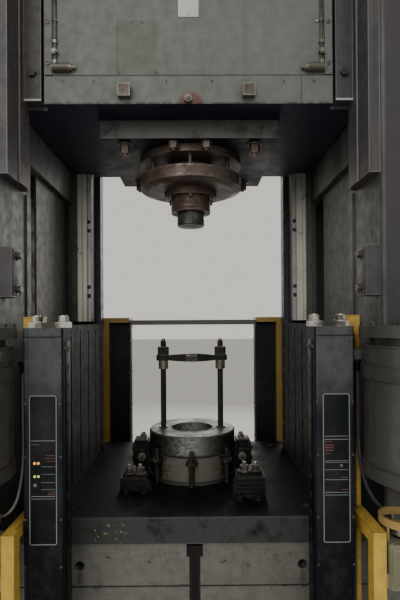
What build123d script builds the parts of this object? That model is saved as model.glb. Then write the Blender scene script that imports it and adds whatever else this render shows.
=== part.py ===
"""Straight-side link drive press: bed, bolster, two uprights and crown, tied by four rods.

X runs to the right, Y to the rear and Z up. The origin is on the floor, under the slide's centre.
"""

import math
import os

from build123d import *

os.makedirs("parts", exist_ok=True)

# Die space
bolster_top = 710.0
bolster_width = 762.0
bolster_overhang = 5.5
bolster_thickness = 66.0
bolster_chamfer = 3.0
die_hole_x = 300.0
die_hole_y = 290.0
die_hole_radius = 10.2
daylight = 1058.0
half_clear = 463.0
stroke = 254.0
adjustment = 80.0

# Bed and uprights
bed_setback = 50.0
bed_wall = 30.0
bed_top_plate = 50.0
foot_thickness = 40.0
foot_length = 200.0
foot_reach = 80.0
anchor_inset = 40.0
anchor_radius = 14.0
upright_width = 300.0
upright_depth = 800.0
upright_wall = 20.0
upright_end_plate = 50.0
upright_edge = 10.0
window_front = -169.0
window_rear = 274.0
window_bottom = 900.0
window_top = 1655.0
pad_front = -209.0
pad_rear = -179.0
pad_bottom = 1195.0
pad_height = 5.0

# Bed front
bed_seam_z = 537.0
seam_width = 2.5
seam_depth = 4.0
lifting_hole_x = 278.0
lifting_hole_z = 589.0
lifting_hole_radius = 11.0
draw_rod_x = 9.0
draw_rod_width = 19.0
draw_rod_thickness = 14.0
draw_rod_foot_z = 60.0
draw_head_width = 35.0
draw_head_height = 20.0
draw_head_top = 632.0
draw_slot_side = 3.5
draw_slot_depth = 20.0
draw_head_side = 2.5

# Crown and tie rods
crown_gap = 152.0
crown_height = 860.0
crown_wall = 30.0
crown_floor = 50.0
tie_rod_radius = 30.0
tie_rod_inset = 85.0
tie_hole_gap = 2.0
nut_across = 96.0
nut_height = 60.0
tie_end = 30.0
seat_gap = 0.05
cover_width = 560.0
cover_height = 440.0
cover_x = -250.0
cover_z = 2780.0
cover_thickness = 12.0
cover_lap = 30.0
cover_screws = 4

# Slide and gibs
slide_half = 379.0
slide_depth = 596.0
slide_height = 560.0
slide_wall = 30.0
slide_floor = 80.0
slide_hub_radius = 150.0
slide_rib = 24.0
apron_height = 75.0
groove_width = 2.0
groove_depth = 1.5
apron_seam_x = 296.0
strip_inner = 357.0
strip_outer = 377.0
strip_proud = 4.0
wing_setback = 35.0
gib_inner = 440.0
side_reach = 455.0
side_step = 48.0
side_pocket_inner = 365.0
gib_clearance = 0.1
lip_inner = 387.0
lip_end_rise = 9.0
front_gib_bottom = 1555.0
front_gib_inset = 4.0
front_gib_step = 26.0
front_gib_guide = 23.0
front_bar_inner = 432.0
backing_inset = 3.0
rear_gib_bottom = 1200.0
rear_gib_depth = 72.0
rear_gib_guide = 47.0
rear_bar_inner = 368.0
rear_bar_inset = 12.0
gib_screw_radius = 8.0
gib_screw_recess = 2.0
gib_screw_depth = 12.0
gib_screw_x = 398.0
gib_screw_zs = (1298.0, 1332.0, 1550.0, 1584.0)
lip_bolt_z = 1850.0
lip_bolt_pitch = 250.0
lip_bolt_across = 20.0
lip_bolt_height = 9.0

# Link drive, in the plane across the press
crank_x = -150.0
crank_z = 2900.0
crank_throw = 80.0
drive_long = 271.0
drive_short = 159.0
tilt_top = 8.0
rocker_length = 200.0
connecting_length = 300.0
link_thickness = 70.0
link_layer_gap = 5.0
pivot_radius = 30.0
crank_pin_radius = 50.0
rocker_eye = 50.0
rocker_head = 60.0
drive_eye_long = 55.0
drive_eye_mid = 85.0
drive_eye_short = 58.0
connecting_eye = 58.0
connecting_neck = 70.0
open_bore = 35.0
stub_gap = 0.5
running_fit = 0.05

# Gear, pinion, flywheel and motor
gear_module = 12.0
gear_teeth = 54
pinion_teeth = 15
addendum = 0.8
dedendum = 1.1
pressure_angle = 20.0
backlash = 0.4
gear_face = 100.0
crank_boss_gap = 2.0
gear_hub_radius = 110.0
gear_hub_gap = 5.0
gear_web = 45.0
gear_rim = 45.0
web_hole_circle = 188.0
web_hole_radius = 45.0
web_hole_count = 5
web_hole_turn = -54.0
crank_boss_radius = 70.0
crank_boss_length = 48.0
gear_axle_radius = 60.0
pinion_angle = 20.0
shaft_radius = 45.0
bush_radius = 60.0
bush_flange = 75.0
bush_flange_length = 10.0
flywheel_radius = 450.0
flywheel_gap = 40.0
flywheel_width = 140.0
flywheel_rim = 70.0
flywheel_web = 40.0
flywheel_hub = 100.0
flywheel_hub_width = 180.0
shaft_collar_radius = 70.0
shaft_collar_length = 20.0
brake_radius = 150.0
brake_length = 90.0
motor_x = -400.0
motor_rise = 165.0
motor_radius = 130.0
motor_length = 340.0
motor_foot_width = 260.0
motor_shaft_radius = 24.0
pulley_radius = 90.0
pulley_recess = 22.0
belt_width = 100.0
belt_thickness = 12.0
belt_gap = 0.3

# Plunger
plunger_radius = 120.0
plunger_top = 2860.0
plunger_bottom = 2460.0
plunger_slot_floor = 2640.0
plunger_slot_x = 74.0
slot_side_gap = 2.0
screw_radius = 80.0
screw_bottom = 1950.0
screw_nut_radius = 100.0
screw_nut_flange = 140.0
screw_nut_flange_height = 40.0
guide_outer = 145.0
guide_top = 2680.0
guide_flange = 175.0
guide_flange_height = 25.0

# Counterbalance cylinders
balance_x = 330.0
balance_y = -230.0
balance_radius = 75.0
balance_bore = 60.0
balance_floor = 2550.0
balance_roof = 2925.0
balance_cap = 20.0
balance_rod_radius = 20.0
piston_z = 2805.0
piston_height = 30.0

# Punch tooling
adapter_half = 256.0
adapter_front = -200.0
adapter_rear = 258.0
adapter_thickness = 50.0
holder_radius = 163.0
holder_flange = 20.0
holder_body_radius = 74.0
holder_body_height = 38.0
holder_ring_height = 35.0
holder_cone_height = 8.0
holder_cone_radius = 138.0
retainer_radius = 85.0
retainer_height = 20.0
sleeve_radius = 64.0
sleeve_bottom = 1550.0
punch_radius = 44.5
punch_bottom = 1508.0
hanging_bolt_x = 190.0
hanging_bolt_front = -153.0
hanging_bolt_rear = 211.0
bolt_shank = 8.0
hanging_bolt_across = 28.0
hanging_bolt_drop = 28.0
flange_bolt_x = 48.0
flange_bolt_y = -172.0
flange_bolt_drop = 20.0
pin_radius = 6.0
pin_circle = 134.0
pin_count = 6
cap_screw_circle = 75.0
cap_screw_radius = 7.0
cap_screw_height = 8.0
cap_screw_count = 6

# Slide front fittings
square_bolt_xs = (-168.0, 156.0)
square_bolt_z = 1797.0
square_bolt_across = 32.0
square_bolt_height = 20.0
centre_fitting_x = -2.0
centre_fitting_z = 1777.0
centre_fitting_radius = 10.0
centre_fitting_length = 16.0
lube_x = 349.0
lube_radius = 4.0
lube_low_z = 1860.0
lube_pipe_flat = 1.0  # depth of the flat that seats a pipe
lube_block_length = 44.0
lube_block_radius = 11.0
lube_block_flat = 3.0
lube_block_overhang = 2.0
lube_knob_z = 1901.0
lube_knob_radius = 7.5
lube_knob_length = 14.0

# Lower die
base_flange_radius = 141.0
base_flange_height = 12.0
base_radius = 137.0
base_height = 78.0
base_bore = 80.0
base_boss_radius = 25.0
base_boss_top = 770.0
die_radius = 138.0
die_height = 64.0
die_bore = 68.0
die_chamfer = 4.0
die_seat_chamfer = 6.0
face_screw_xs = (27.0, 48.0)
face_screw_y = -119.0
face_screw_radius = 6.0
face_screw_depth = 6.0
stud_angles = (270.0, 315.0, 45.0, 90.0, 135.0, 225.0)
stud_circle = 150.0
stud_radius = 7.0
stud_top = 812.0
stud_slot_width = 20.0
stud_slot_floor = 126.0
stud_washer_radius = 18.0
stud_washer_z = 774.0
stud_washer_height = 7.0
stud_nut_radius = 11.5
stud_nut_height = 14.0
side_clamp_inner = 138.5
side_clamp_outer = 182.0
side_clamp_width = 50.0
side_clamp_top = 811.0
side_clamp_foot_gap = 1.0
side_bolt_radius = 8.0
side_bolt_z = 765.0
side_bolt_length = 12.0
side_stem_radius = 6.0
side_stem_height = 22.0
toe_right_front = -236.0
toe_right_depth = 76.0
toe_right_x = 159.0
toe_right_height = 56.0
toe_left_front = -176.0
toe_left_depth = 45.0
toe_left_x = -161.0
toe_left_height = 36.0
toe_width = 88.0
toe_steps = 5
toe_step_depth = 4.0
toe_nut_across = 22.0
toe_nut_height = 14.0

# Yoke over the die
yoke_half = 93.0
yoke_rod_radius = 9.0
yoke_rod_top = 1135.0
yoke_nut_z = 1088.0
yoke_nut_height = 26.0
yoke_nut_across = 32.0
yoke_collar_height = 28.0
yoke_collar_radius = 15.0
yoke_bar_reach = 115.0
yoke_bar_end = 17.0
yoke_bar_middle = 26.0
yoke_bar_depth = 34.0
yoke_rod_depth = 32.0

# Light curtains and guards
curtain_inner = 273.0
curtain_outer = 360.0
curtain_depth = 70.0
curtain_edge = 8.0
curtain_flange = 10.0
curtain_recess = 2.0
front_curtain_gap = 102.0
rear_curtain_inner = 265.0
rear_curtain_outer = 355.0
rear_curtain_gap = 29.0
curtain_top = 1184.0
curtain_bottom = 430.0
rear_curtain_top = 1194.0
left_post_inner = 344.0
right_post_inner = 356.0
post_width = 42.0
post_depth = 38.0
front_post_gap = 28.0
post_top = 1208.0
rail_top = 765.0
rail_height = 28.0
rail_gap = 2.0
leg_depth = 28.0
leg_gap = 163.0
right_leg = (373.0, 401.0)
left_leg = (354.0, 382.0)
anchor_arm_z = 490.0
bracket_thickness = 12.0
bracket_width = 30.0
bracket_reach = 363.0
bracket_bolt_across = 22.0
bracket_bolt_height = 14.0
rear_post_inner = 348.0
rear_post_width = 28.0
rear_post_inset = 2.0
rear_arm_height = 20.0
rear_rail_drop = 10.0
side_guard_x = 350.0
side_guard_inset = 10.5
side_guard_rear_inset = 100.5
side_guard_top = 1188.0
sheet = 3.0
side_guard_flange = 24.0

# Button stations
station_x = 446.0
station_gap = 130.0
station_width = 84.0
station_depth = 84.0
station_top = 742.0
station_height = 90.0
ring_radius = 46.0
ring_wall = 5.0
ring_height = 16.0
ring_rise = 29.0
ring_posts = 3
button_radius = 24.0
button_height = 18.0
button_stem_radius = 9.0
button_stem_length = 22.0
button_bore_depth = 45.0
button_bore_gap = 0.3
button_lift = 8.0
junction_x = 472.0
junction_gap = 63.0
junction_width = 44.0
junction_depth = 50.0
junction_top = 680.0
junction_height = 42.0
gland_x = 472.0
gland_setback = 8.0
gland_radius = 9.0
gland_top = 693.0

# Air tanks
tank_x = 502.0
tank_gap = 14.0
tank_radius = 130.0
tank_bottom = 822.0
tank_dome = 60.0
drain_radius = 15.0
drain_length = 10.0
tank_shoulder = 1146.0
tank_neck_radius = 118.0
tank_flange_radius = 140.0
tank_flange_z = 1162.0
tank_flange_height = 24.0
tank_pipe_radius = 17.0
tank_pipe_top = 1225.0
strap_zs = (888.0, 1090.0)
strap_height = 28.0
strap_thickness = 4.0
strap_gap = 0.2
strap_lug_half = 36.0

# Limit boxes
limit_inner = 428.0
limit_inset = 10.0
limit_width = 60.0
limit_bottom = 1258.0
limit_top = 1381.0
limit_knob_inset = 20.0
limit_knob_radius = 9.0
limit_knob_length = 12.0

# Window shutters
shutter_thickness = 6.0
shutter_gap = 1.0
shutter_length = 350.0
shutter_lap = 20.0
left_shutter_front = -62.0
right_shutter_front = -180.0
track_inset = 40.0
track_lip = 4.0
track_height = 18.0
track_play = 0.2
shutter_handle_length = 90.0
shutter_handle_radius = 5.0
shutter_handle_rise = 30.0
shutter_handle_drop = 120.0

# Curtain cables, with the elbow that each one leaves the curtain by
elbow_reach = 23.0
elbow_half = 12.0
elbow_bottom = 1110.0
elbow_height = 24.0
elbow_setback = 32.0
left_cable_radius = 3.0
right_cable_radius = 4.0

# Heights and places worked out from the sizes above
half_depth = upright_depth / 2
bed_depth = upright_depth - 2 * bed_setback
bolster_depth = bed_depth + 2 * bolster_overhang
tie_rod_y = half_depth - tie_rod_inset
bed_top = bolster_top - bolster_thickness
slide_bottom = bolster_top + daylight
slide_top = slide_bottom + slide_height
crown_bottom = slide_top + crown_gap
crown_top = crown_bottom + crown_height
rod_x = half_clear + upright_width / 2
outer_x = half_clear + upright_width
slide_front = -slide_depth / 2
slide_rear = slide_depth / 2
wing_out = gib_inner - gib_clearance
wing_y = slide_depth / 2 - wing_setback
lip_end_z = slide_bottom + lip_end_rise
lip_rear = slide_front + wing_setback - gib_clearance
rear_lip_front = slide_rear - wing_setback + gib_clearance
front_gib_front = front_gib_inset - half_depth
front_gib_middle = slide_front - front_gib_step
front_gib_rear = lip_rear + front_gib_guide
rear_gib_rear = rear_lip_front + rear_gib_depth
rear_gib_front = rear_lip_front - rear_gib_guide
rear_bar_rear = half_depth - rear_bar_inset
pinion_distance = gear_module * (gear_teeth + pinion_teeth) / 2
pinion_x = crank_x + pinion_distance * math.cos(math.radians(pinion_angle))
pinion_z = crank_z + pinion_distance * math.sin(math.radians(pinion_angle))
link_rear = link_thickness / 2
drive_front = link_rear + link_layer_gap
drive_rear = drive_front + link_thickness
gear_front = drive_rear + crank_boss_gap + crank_boss_length
gear_hub_rear = half_depth - crown_wall - gear_hub_gap
flywheel_front = half_depth + flywheel_gap
motor_z = crown_top + motor_rise
adapter_bottom = slide_bottom - adapter_thickness
die_seat = bolster_top + base_height
die_top = die_seat + die_height
yoke_bar_z = yoke_nut_z - yoke_bar_end / 2
bed_front = -bed_depth / 2
wall_inner = half_clear + upright_wall
front_curtain_face = -half_depth - front_curtain_gap
rear_curtain_face = half_depth + rear_curtain_gap
front_post_face = -half_depth - front_post_gap
leg_face = -half_depth - leg_gap
rear_post_face = half_depth - rear_post_inset
side_guard_front = side_guard_inset - bolster_depth / 2
side_guard_rear = bolster_depth / 2 - side_guard_rear_inset
station_y = -half_depth - station_gap
junction_y = -half_depth - junction_gap
tank_y = -half_depth - tank_radius - tank_gap
limit_front = limit_inset - half_depth
limit_rear = limit_front + limit_width
track_reach = half_depth - track_inset
cable_y = front_curtain_face + elbow_setback
gland_y = cable_y + gland_setback
SIDES = ((-1, "left"), (1, "right"))

# Pivots of the link drive with the slide at the top
crank_pin = (crank_x, crank_z + crank_throw)
tilt = math.radians(tilt_top)
drive_low = (crank_pin[0] - drive_long * math.cos(tilt), crank_pin[1] - drive_long * math.sin(tilt))
drive_high = (crank_pin[0] + drive_short * math.cos(tilt), crank_pin[1] + drive_short * math.sin(tilt))
tilt_low = math.asin((stroke - 2 * crank_throw) / drive_short - math.sin(tilt))
drive_low_end = (
    crank_x - drive_long * math.cos(tilt_low),
    crank_z - crank_throw + drive_long * math.sin(tilt_low),
)
rocker_mid = ((drive_low[0] + drive_low_end[0]) / 2, (drive_low[1] + drive_low_end[1]) / 2)
rocker_half = math.dist(drive_low, drive_low_end) / 2
rocker_rise = math.sqrt(rocker_length**2 - rocker_half**2)
rocker_pivot = (rocker_mid[0], rocker_mid[1] + rocker_rise)
wrist_z = drive_high[1] - math.sqrt(connecting_length**2 - drive_high[0] ** 2)

# Routes of the curtain cables, from the elbow down to the gland
left_cable_route = [
    (-371.0, cable_y, elbow_bottom),
    (-370.0, cable_y, 1050.0),
    (-371.0, cable_y - 1.0, 985.0),
    (-369.0, cable_y - 1.0, 925.0),
    (-371.0, cable_y - 3.0, 870.0),
    (-375.0, cable_y - 5.0, 838.0),
    (-380.0, cable_y - 12.0, 803.0),
    (-396.0, cable_y - 17.0, 778.0),
    (-420.0, cable_y - 16.0, 768.0),
    (-446.0, cable_y - 8.0, 757.0),
    (-463.0, cable_y + 2.0, 737.0),
    (-470.0, cable_y + 7.0, 715.0),
    (-gland_x, gland_y, gland_top),
]
right_cable_route = [
    (376.0, cable_y, elbow_bottom),
    (377.0, cable_y, 1045.0),
    (376.0, cable_y - 1.0, 975.0),
    (378.0, cable_y - 2.0, 910.0),
    (383.0, cable_y - 4.0, 862.0),
    (394.0, cable_y - 6.0, 822.0),
    (414.0, cable_y - 7.0, 790.0),
    (438.0, cable_y - 4.0, 770.0),
    (458.0, cable_y + 2.0, 748.0),
    (469.0, cable_y + 7.0, 721.0),
    (gland_x, gland_y, gland_top),
]


def block(xs, ys, zs, mode=Mode.ADD):
    """Add, or cut, a box between two corners."""
    middle = ((xs[0] + xs[1]) / 2, (ys[0] + ys[1]) / 2, (zs[0] + zs[1]) / 2)
    with Locations(middle):
        Box(abs(xs[1] - xs[0]), abs(ys[1] - ys[0]), abs(zs[1] - zs[0]), mode=mode)


def upright_rod(radius, low, high, places, mode=Mode.ADD):
    """Add, or cut, a vertical cylinder from low to high at each place."""
    with Locations([(x, y, (low + high) / 2) for x, y in places]):
        Cylinder(radius, high - low, mode=mode)


def cross_rod(radius, front, rear, places, mode=Mode.ADD):
    """Add, or cut, a cylinder along Y from front to rear at each (x, z) place."""
    spots = [Location((x, (front + rear) / 2, z), (90, 0, 0)) for x, z in places]
    with Locations(spots):
        Cylinder(radius, rear - front, mode=mode)


def side_rod(radius, inner, outer, places, mode=Mode.ADD):
    """Add, or cut, a cylinder along X from inner to outer at each (y, z) place."""
    spots = [Location(((inner + outer) / 2, y, z), (0, 90, 0)) for y, z in places]
    with Locations(spots):
        Cylinder(radius, abs(outer - inner), mode=mode)


def hex_prism(across, low, high, places, mode=Mode.ADD):
    """Add, or cut, a vertical hexagon from low to high at each place."""
    with BuildSketch(Plane.XY.offset(low)) as outline:
        with Locations(places):
            RegularPolygon(radius=across / math.sqrt(3), side_count=6)
    extrude(outline.sketch, amount=high - low, mode=mode)


def cross_plane(y):
    """The plane across the press at y, seen from the front, with X right and Z up."""
    return Plane(origin=(0, y, 0), x_dir=(1, 0, 0), z_dir=(0, -1, 0))


def turned(points):
    """Turn a closed (radius, height) outline round the vertical axis."""
    with BuildSketch(Plane.XZ) as section:
        with BuildLine():
            Polyline(*points, close=True)
        make_face()
    revolve(section.sketch, axis=Axis.Z)


def save(piece, name):
    """Name a finished piece and write it."""
    piece.part.label = name
    export_step(piece.part, f"parts/{name}.step")


# Bed: a welded box with a pedestal under each upright
with BuildPart() as bed:
    with BuildSketch(Plane.XY.offset(foot_thickness)):
        Rectangle(2 * half_clear, bed_depth)
        with GridLocations(2 * rod_x, 0, 2, 1):
            Rectangle(upright_width, upright_depth)
    extrude(amount=bed_top - foot_thickness)
    with BuildSketch(Plane.XY.offset(foot_thickness)):
        Rectangle(2 * (half_clear - bed_wall), bed_depth - 2 * bed_wall)
        with GridLocations(2 * rod_x, 0, 2, 1):
            Rectangle(upright_width - 2 * bed_wall, upright_depth - 2 * bed_wall)
    extrude(amount=bed_top - bed_top_plate - foot_thickness, mode=Mode.SUBTRACT)
    foot_x = outer_x + foot_reach - foot_length / 2
    foot_y = half_depth + foot_reach - foot_length / 2
    with BuildSketch():
        with GridLocations(2 * foot_x, 2 * foot_y, 2, 2):
            RectangleRounded(foot_length, foot_length, upright_edge)
    extrude(amount=foot_thickness)
    anchor_x = outer_x + foot_reach - anchor_inset
    anchor_y = half_depth + foot_reach - anchor_inset
    with BuildSketch():
        with GridLocations(2 * anchor_x, 2 * anchor_y, 2, 2):
            Circle(anchor_radius)
    extrude(amount=foot_thickness, mode=Mode.SUBTRACT)
    tie_places = [(sx * rod_x, sy * tie_rod_y) for sx in (-1, 1) for sy in (-1, 1)]
    upright_rod(
        tie_rod_radius + tie_hole_gap, bed_top - bed_top_plate, bed_top, tie_places, Mode.SUBTRACT
    )
    cross_rod(
        lifting_hole_radius,
        bed_front,
        bed_front + bed_wall,
        [(-lifting_hole_x, lifting_hole_z), (lifting_hole_x, lifting_hole_z)],
        Mode.SUBTRACT,
    )
    slot_half = draw_rod_width / 2 + draw_slot_side
    head_half = draw_head_width / 2 + draw_head_side
    block(
        (draw_rod_x - slot_half, draw_rod_x + slot_half),
        (bed_front, bed_front + draw_slot_depth),
        (foot_thickness, bed_top),
        Mode.SUBTRACT,
    )
    block(
        (draw_rod_x - head_half, draw_rod_x + head_half),
        (bed_front, bed_front + draw_slot_depth),
        (draw_head_top - draw_head_height - draw_head_side, bed_top),
        Mode.SUBTRACT,
    )
    block(
        (-half_clear, half_clear),
        (bed_front, bed_front + seam_depth),
        (bed_seam_z - seam_width / 2, bed_seam_z + seam_width / 2),
        Mode.SUBTRACT,
    )
save(bed, "bed")

# Draw rod: T-headed, standing in the slot of the bed's front, against the slot's floor
with BuildPart() as draw_rod:
    rod_back = bed_front + draw_slot_depth
    with BuildSketch(cross_plane(rod_back)):
        with BuildLine():
            Polyline(
                (draw_rod_x - draw_rod_width / 2, draw_rod_foot_z),
                (draw_rod_x + draw_rod_width / 2, draw_rod_foot_z),
                (draw_rod_x + draw_rod_width / 2, draw_head_top - draw_head_height),
                (draw_rod_x + draw_head_width / 2, draw_head_top - draw_head_height),
                (draw_rod_x + draw_head_width / 2, draw_head_top),
                (draw_rod_x - draw_head_width / 2, draw_head_top),
                (draw_rod_x - draw_head_width / 2, draw_head_top - draw_head_height),
                (draw_rod_x - draw_rod_width / 2, draw_head_top - draw_head_height),
                close=True,
            )
        make_face()
    extrude(amount=draw_rod_thickness)
save(draw_rod, "draw_rod")

# Bolster
with BuildPart() as bolster:
    with BuildSketch(Plane.XY.offset(bed_top)):
        Rectangle(bolster_width, bolster_depth)
    extrude(amount=bolster_thickness)
    chamfer(bolster.faces().sort_by(Axis.Z)[-1].edges(), length=bolster_chamfer)
    with BuildSketch(Plane.XY.offset(bed_top)):
        with GridLocations(2 * die_hole_x, 2 * die_hole_y, 2, 2):
            Circle(die_hole_radius)
    extrude(amount=bolster_thickness, mode=Mode.SUBTRACT)
save(bolster, "bolster")

# Uprights: box columns with end plates for the tie rods and a window through both walls
for side, side_name in SIDES:
    with BuildPart() as upright:
        with BuildSketch(Plane.XY.offset(bed_top)):
            with Locations((side * rod_x, 0)):
                Rectangle(upright_width, upright_depth)
        extrude(amount=crown_bottom - bed_top)
        corner_edges = upright.edges().filter_by(Axis.Z)
        fillet(corner_edges, radius=upright_edge)
        with BuildSketch(Plane.XY.offset(bed_top + upright_end_plate)):
            with Locations((side * rod_x, 0)):
                Rectangle(upright_width - 2 * upright_wall, upright_depth - 2 * upright_wall)
        extrude(amount=crown_bottom - bed_top - 2 * upright_end_plate, mode=Mode.SUBTRACT)
        block(
            (side * half_clear, side * outer_x),
            (window_front, window_rear),
            (window_bottom, window_top),
            Mode.SUBTRACT,
        )
        side_places = [(side * rod_x, -tie_rod_y), (side * rod_x, tie_rod_y)]
        upright_rod(
            tie_rod_radius + tie_hole_gap, bed_top, crown_bottom, side_places, Mode.SUBTRACT
        )
        block(
            (side * (half_clear - pad_height), side * half_clear),
            (pad_front, pad_rear),
            (pad_bottom, front_gib_bottom),
        )
        block(
            (side * rear_bar_inner, side * half_clear),
            (rear_gib_rear, rear_bar_rear),
            (rear_gib_bottom, crown_bottom),
        )
    save(upright, f"upright_{side_name}")

# Crown: the welded box that holds the link drive
with BuildPart() as crown:
    with BuildSketch(Plane.XY.offset(crown_bottom)):
        Rectangle(2 * outer_x, upright_depth)
    extrude(amount=crown_height)
    fillet(crown.edges().filter_by(Axis.Z), radius=upright_edge)
    with BuildSketch(Plane.XY.offset(crown_bottom + crown_floor)):
        Rectangle(2 * (outer_x - crown_wall), upright_depth - 2 * crown_wall)
    extrude(amount=crown_height - crown_floor - crown_wall, mode=Mode.SUBTRACT)
    upright_rod(tie_rod_radius + tie_hole_gap, crown_bottom, crown_top, tie_places, Mode.SUBTRACT)
    upright_rod(
        guide_outer + seat_gap, crown_bottom, crown_bottom + crown_floor, [(0, 0)], Mode.SUBTRACT
    )
    balance_places = [(-balance_x, balance_y), (balance_x, balance_y)]
    upright_rod(
        balance_radius + seat_gap,
        crown_bottom,
        crown_bottom + crown_floor,
        balance_places,
        Mode.SUBTRACT,
    )
    rocker_boss_rear = -link_rear - link_layer_gap
    cross_rod(rocker_head, crown_wall - half_depth, rocker_boss_rear, [rocker_pivot])
    cross_rod(
        pivot_radius + seat_gap, -half_depth, rocker_boss_rear, [rocker_pivot], Mode.SUBTRACT
    )
    cross_rod(
        gear_axle_radius + seat_gap,
        half_depth - crown_wall,
        half_depth,
        [(crank_x, crank_z)],
        Mode.SUBTRACT,
    )
    cross_rod(
        bush_radius + seat_gap, -half_depth, half_depth, [(pinion_x, pinion_z)], Mode.SUBTRACT
    )
    block(
        (cover_x - cover_width / 2, cover_x + cover_width / 2),
        (-half_depth, crown_wall - half_depth),
        (cover_z - cover_height / 2, cover_z + cover_height / 2),
        Mode.SUBTRACT,
    )
save(crown, "crown")

# Cover over the crown's front opening
with BuildPart() as crown_cover:
    with BuildSketch(cross_plane(-half_depth)):
        with Locations((cover_x, cover_z)):
            RectangleRounded(cover_width + 2 * cover_lap, cover_height + 2 * cover_lap, upright_edge)
    extrude(amount=cover_thickness)
    screw_pitch_x = (cover_width + cover_lap) / (cover_screws - 1)
    screw_pitch_z = (cover_height + cover_lap) / (cover_screws - 1)
    with BuildSketch(cross_plane(-half_depth - cover_thickness)):
        with Locations((cover_x, cover_z)):
            with GridLocations(screw_pitch_x, cover_height + cover_lap, cover_screws, 2):
                RegularPolygon(radius=lip_bolt_across / math.sqrt(3), side_count=6)
            with GridLocations(cover_width + cover_lap, screw_pitch_z, 2, cover_screws):
                RegularPolygon(radius=lip_bolt_across / math.sqrt(3), side_count=6)
    extrude(amount=lip_bolt_height)
save(crown_cover, "crown_cover")

# Tie rods with a nut at each end
with BuildPart() as tie_rods:
    tie_foot = bed_top - bed_top_plate - nut_height
    upright_rod(tie_rod_radius, tie_foot - tie_end, crown_top + nut_height + tie_end, tie_places)
with BuildPart() as tie_nuts:
    hex_prism(nut_across, tie_foot, tie_foot + nut_height, tie_places)
    hex_prism(nut_across, crown_top, crown_top + nut_height, tie_places)
    upright_rod(
        tie_rod_radius + seat_gap, tie_foot, crown_top + nut_height, tie_places, Mode.SUBTRACT
    )
tie_group = Compound(children=[*tie_rods.solids(), *tie_nuts.solids()])
tie_group.label = "tie_rods"
export_step(tie_group, "parts/tie_rods.step")

# Front gibs: a bar on each upright, with a lip in front of the slide's wing
with BuildPart() as front_gibs:
    for side, side_name in SIDES:
        block(
            (side * front_bar_inner, side * half_clear),
            (front_gib_middle, lip_rear),
            (front_gib_bottom, crown_bottom),
        )
        block(
            (side * (front_bar_inner + backing_inset), side * half_clear),
            (front_gib_front, front_gib_middle),
            (front_gib_bottom, crown_bottom),
        )
        block(
            (side * gib_inner, side * half_clear),
            (lip_rear, front_gib_rear),
            (front_gib_bottom, crown_bottom),
        )
        block(
            (side * lip_inner, side * front_bar_inner),
            (slide_front, lip_rear),
            (lip_end_z, crown_bottom),
        )
save(front_gibs, "front_gibs")

# Rear gibs: a face bar behind the slide's wing, with a liner beside the wing higher up
gib_screw_places = [(side * gib_screw_x, z) for side in (-1, 1) for z in gib_screw_zs]
with BuildPart() as rear_gibs:
    for side, side_name in SIDES:
        block(
            (side * lip_inner, side * half_clear),
            (rear_lip_front, rear_gib_rear),
            (rear_gib_bottom, crown_bottom),
        )
        block(
            (side * gib_inner, side * half_clear),
            (rear_gib_front, rear_lip_front),
            (lip_end_z, crown_bottom),
        )
    cross_rod(
        gib_screw_radius + seat_gap,
        rear_lip_front,
        rear_lip_front + gib_screw_depth,
        gib_screw_places,
        Mode.SUBTRACT,
    )
save(rear_gibs, "rear_gibs")

# Gib screws: socket heads sunk in the rear gibs, hexagon heads on the front lips and bars
with BuildPart() as gib_screws:
    cross_rod(
        gib_screw_radius,
        rear_lip_front + gib_screw_recess,
        rear_lip_front + gib_screw_depth,
        gib_screw_places,
    )
    lip_bolt_x = (lip_inner + front_bar_inner) / 2
    lip_bolt_zs = (lip_bolt_z, lip_bolt_z + lip_bolt_pitch)
    with BuildSketch(cross_plane(slide_front)):
        with Locations([(side * lip_bolt_x, z) for side in (-1, 1) for z in lip_bolt_zs]):
            RegularPolygon(radius=lip_bolt_across / math.sqrt(3), side_count=6)
    extrude(amount=lip_bolt_height)
save(gib_screws, "gib_screws")

# Plunger guide, seated in the crown's floor and hung on its flange from below
with BuildPart() as plunger_guide:
    guide_bore = plunger_radius + running_fit
    guide_bottom = crown_bottom - guide_flange_height
    turned(
        [
            (guide_bore, guide_bottom),
            (guide_flange, guide_bottom),
            (guide_flange, crown_bottom),
            (guide_outer, crown_bottom),
            (guide_outer, guide_top),
            (guide_bore, guide_top),
        ]
    )
save(plunger_guide, "plunger_guide")

# Fixed pivots: the crank gear's axle in the rear wall and the rocker's pin in the front boss
with BuildPart() as pivot_pins:
    gear_axis = [(crank_x, crank_z)]
    axle_front = gear_front + link_layer_gap + stub_gap
    cross_rod(gear_axle_radius, axle_front, half_depth, gear_axis)
    cross_rod(gear_hub_radius, half_depth, half_depth + bush_flange_length, gear_axis)
    cross_rod(pivot_radius, -half_depth, link_rear, [rocker_pivot])
    cross_rod(rocker_head, -half_depth - bush_flange_length, -half_depth, [rocker_pivot])
save(pivot_pins, "pivot_pins")

# Bushes of the pinion shaft, one in each wall
with BuildPart() as shaft_bushes:
    pinion_place = [(pinion_x, pinion_z)]
    cross_rod(bush_radius, -half_depth, crown_wall - half_depth, pinion_place)
    cross_rod(bush_radius, half_depth - crown_wall, half_depth, pinion_place)
    cross_rod(bush_flange, half_depth, half_depth + bush_flange_length, pinion_place)
    cross_rod(
        shaft_radius + running_fit,
        -half_depth,
        half_depth + bush_flange_length,
        pinion_place,
        Mode.SUBTRACT,
    )
save(shaft_bushes, "shaft_bushes")

# Brake housing on the front end of the pinion shaft
with BuildPart() as brake_housing:
    brake_front = -half_depth - brake_length
    cross_rod(brake_radius, brake_front, -half_depth, pinion_place)
    front_rim = brake_housing.faces().sort_by(Axis.Y)[0].edges()
    fillet(front_rim, radius=upright_edge)
    cross_rod(
        bush_radius + seat_gap,
        brake_front + crown_wall,
        -half_depth,
        pinion_place,
        Mode.SUBTRACT,
    )
save(brake_housing, "brake_housing")

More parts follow.
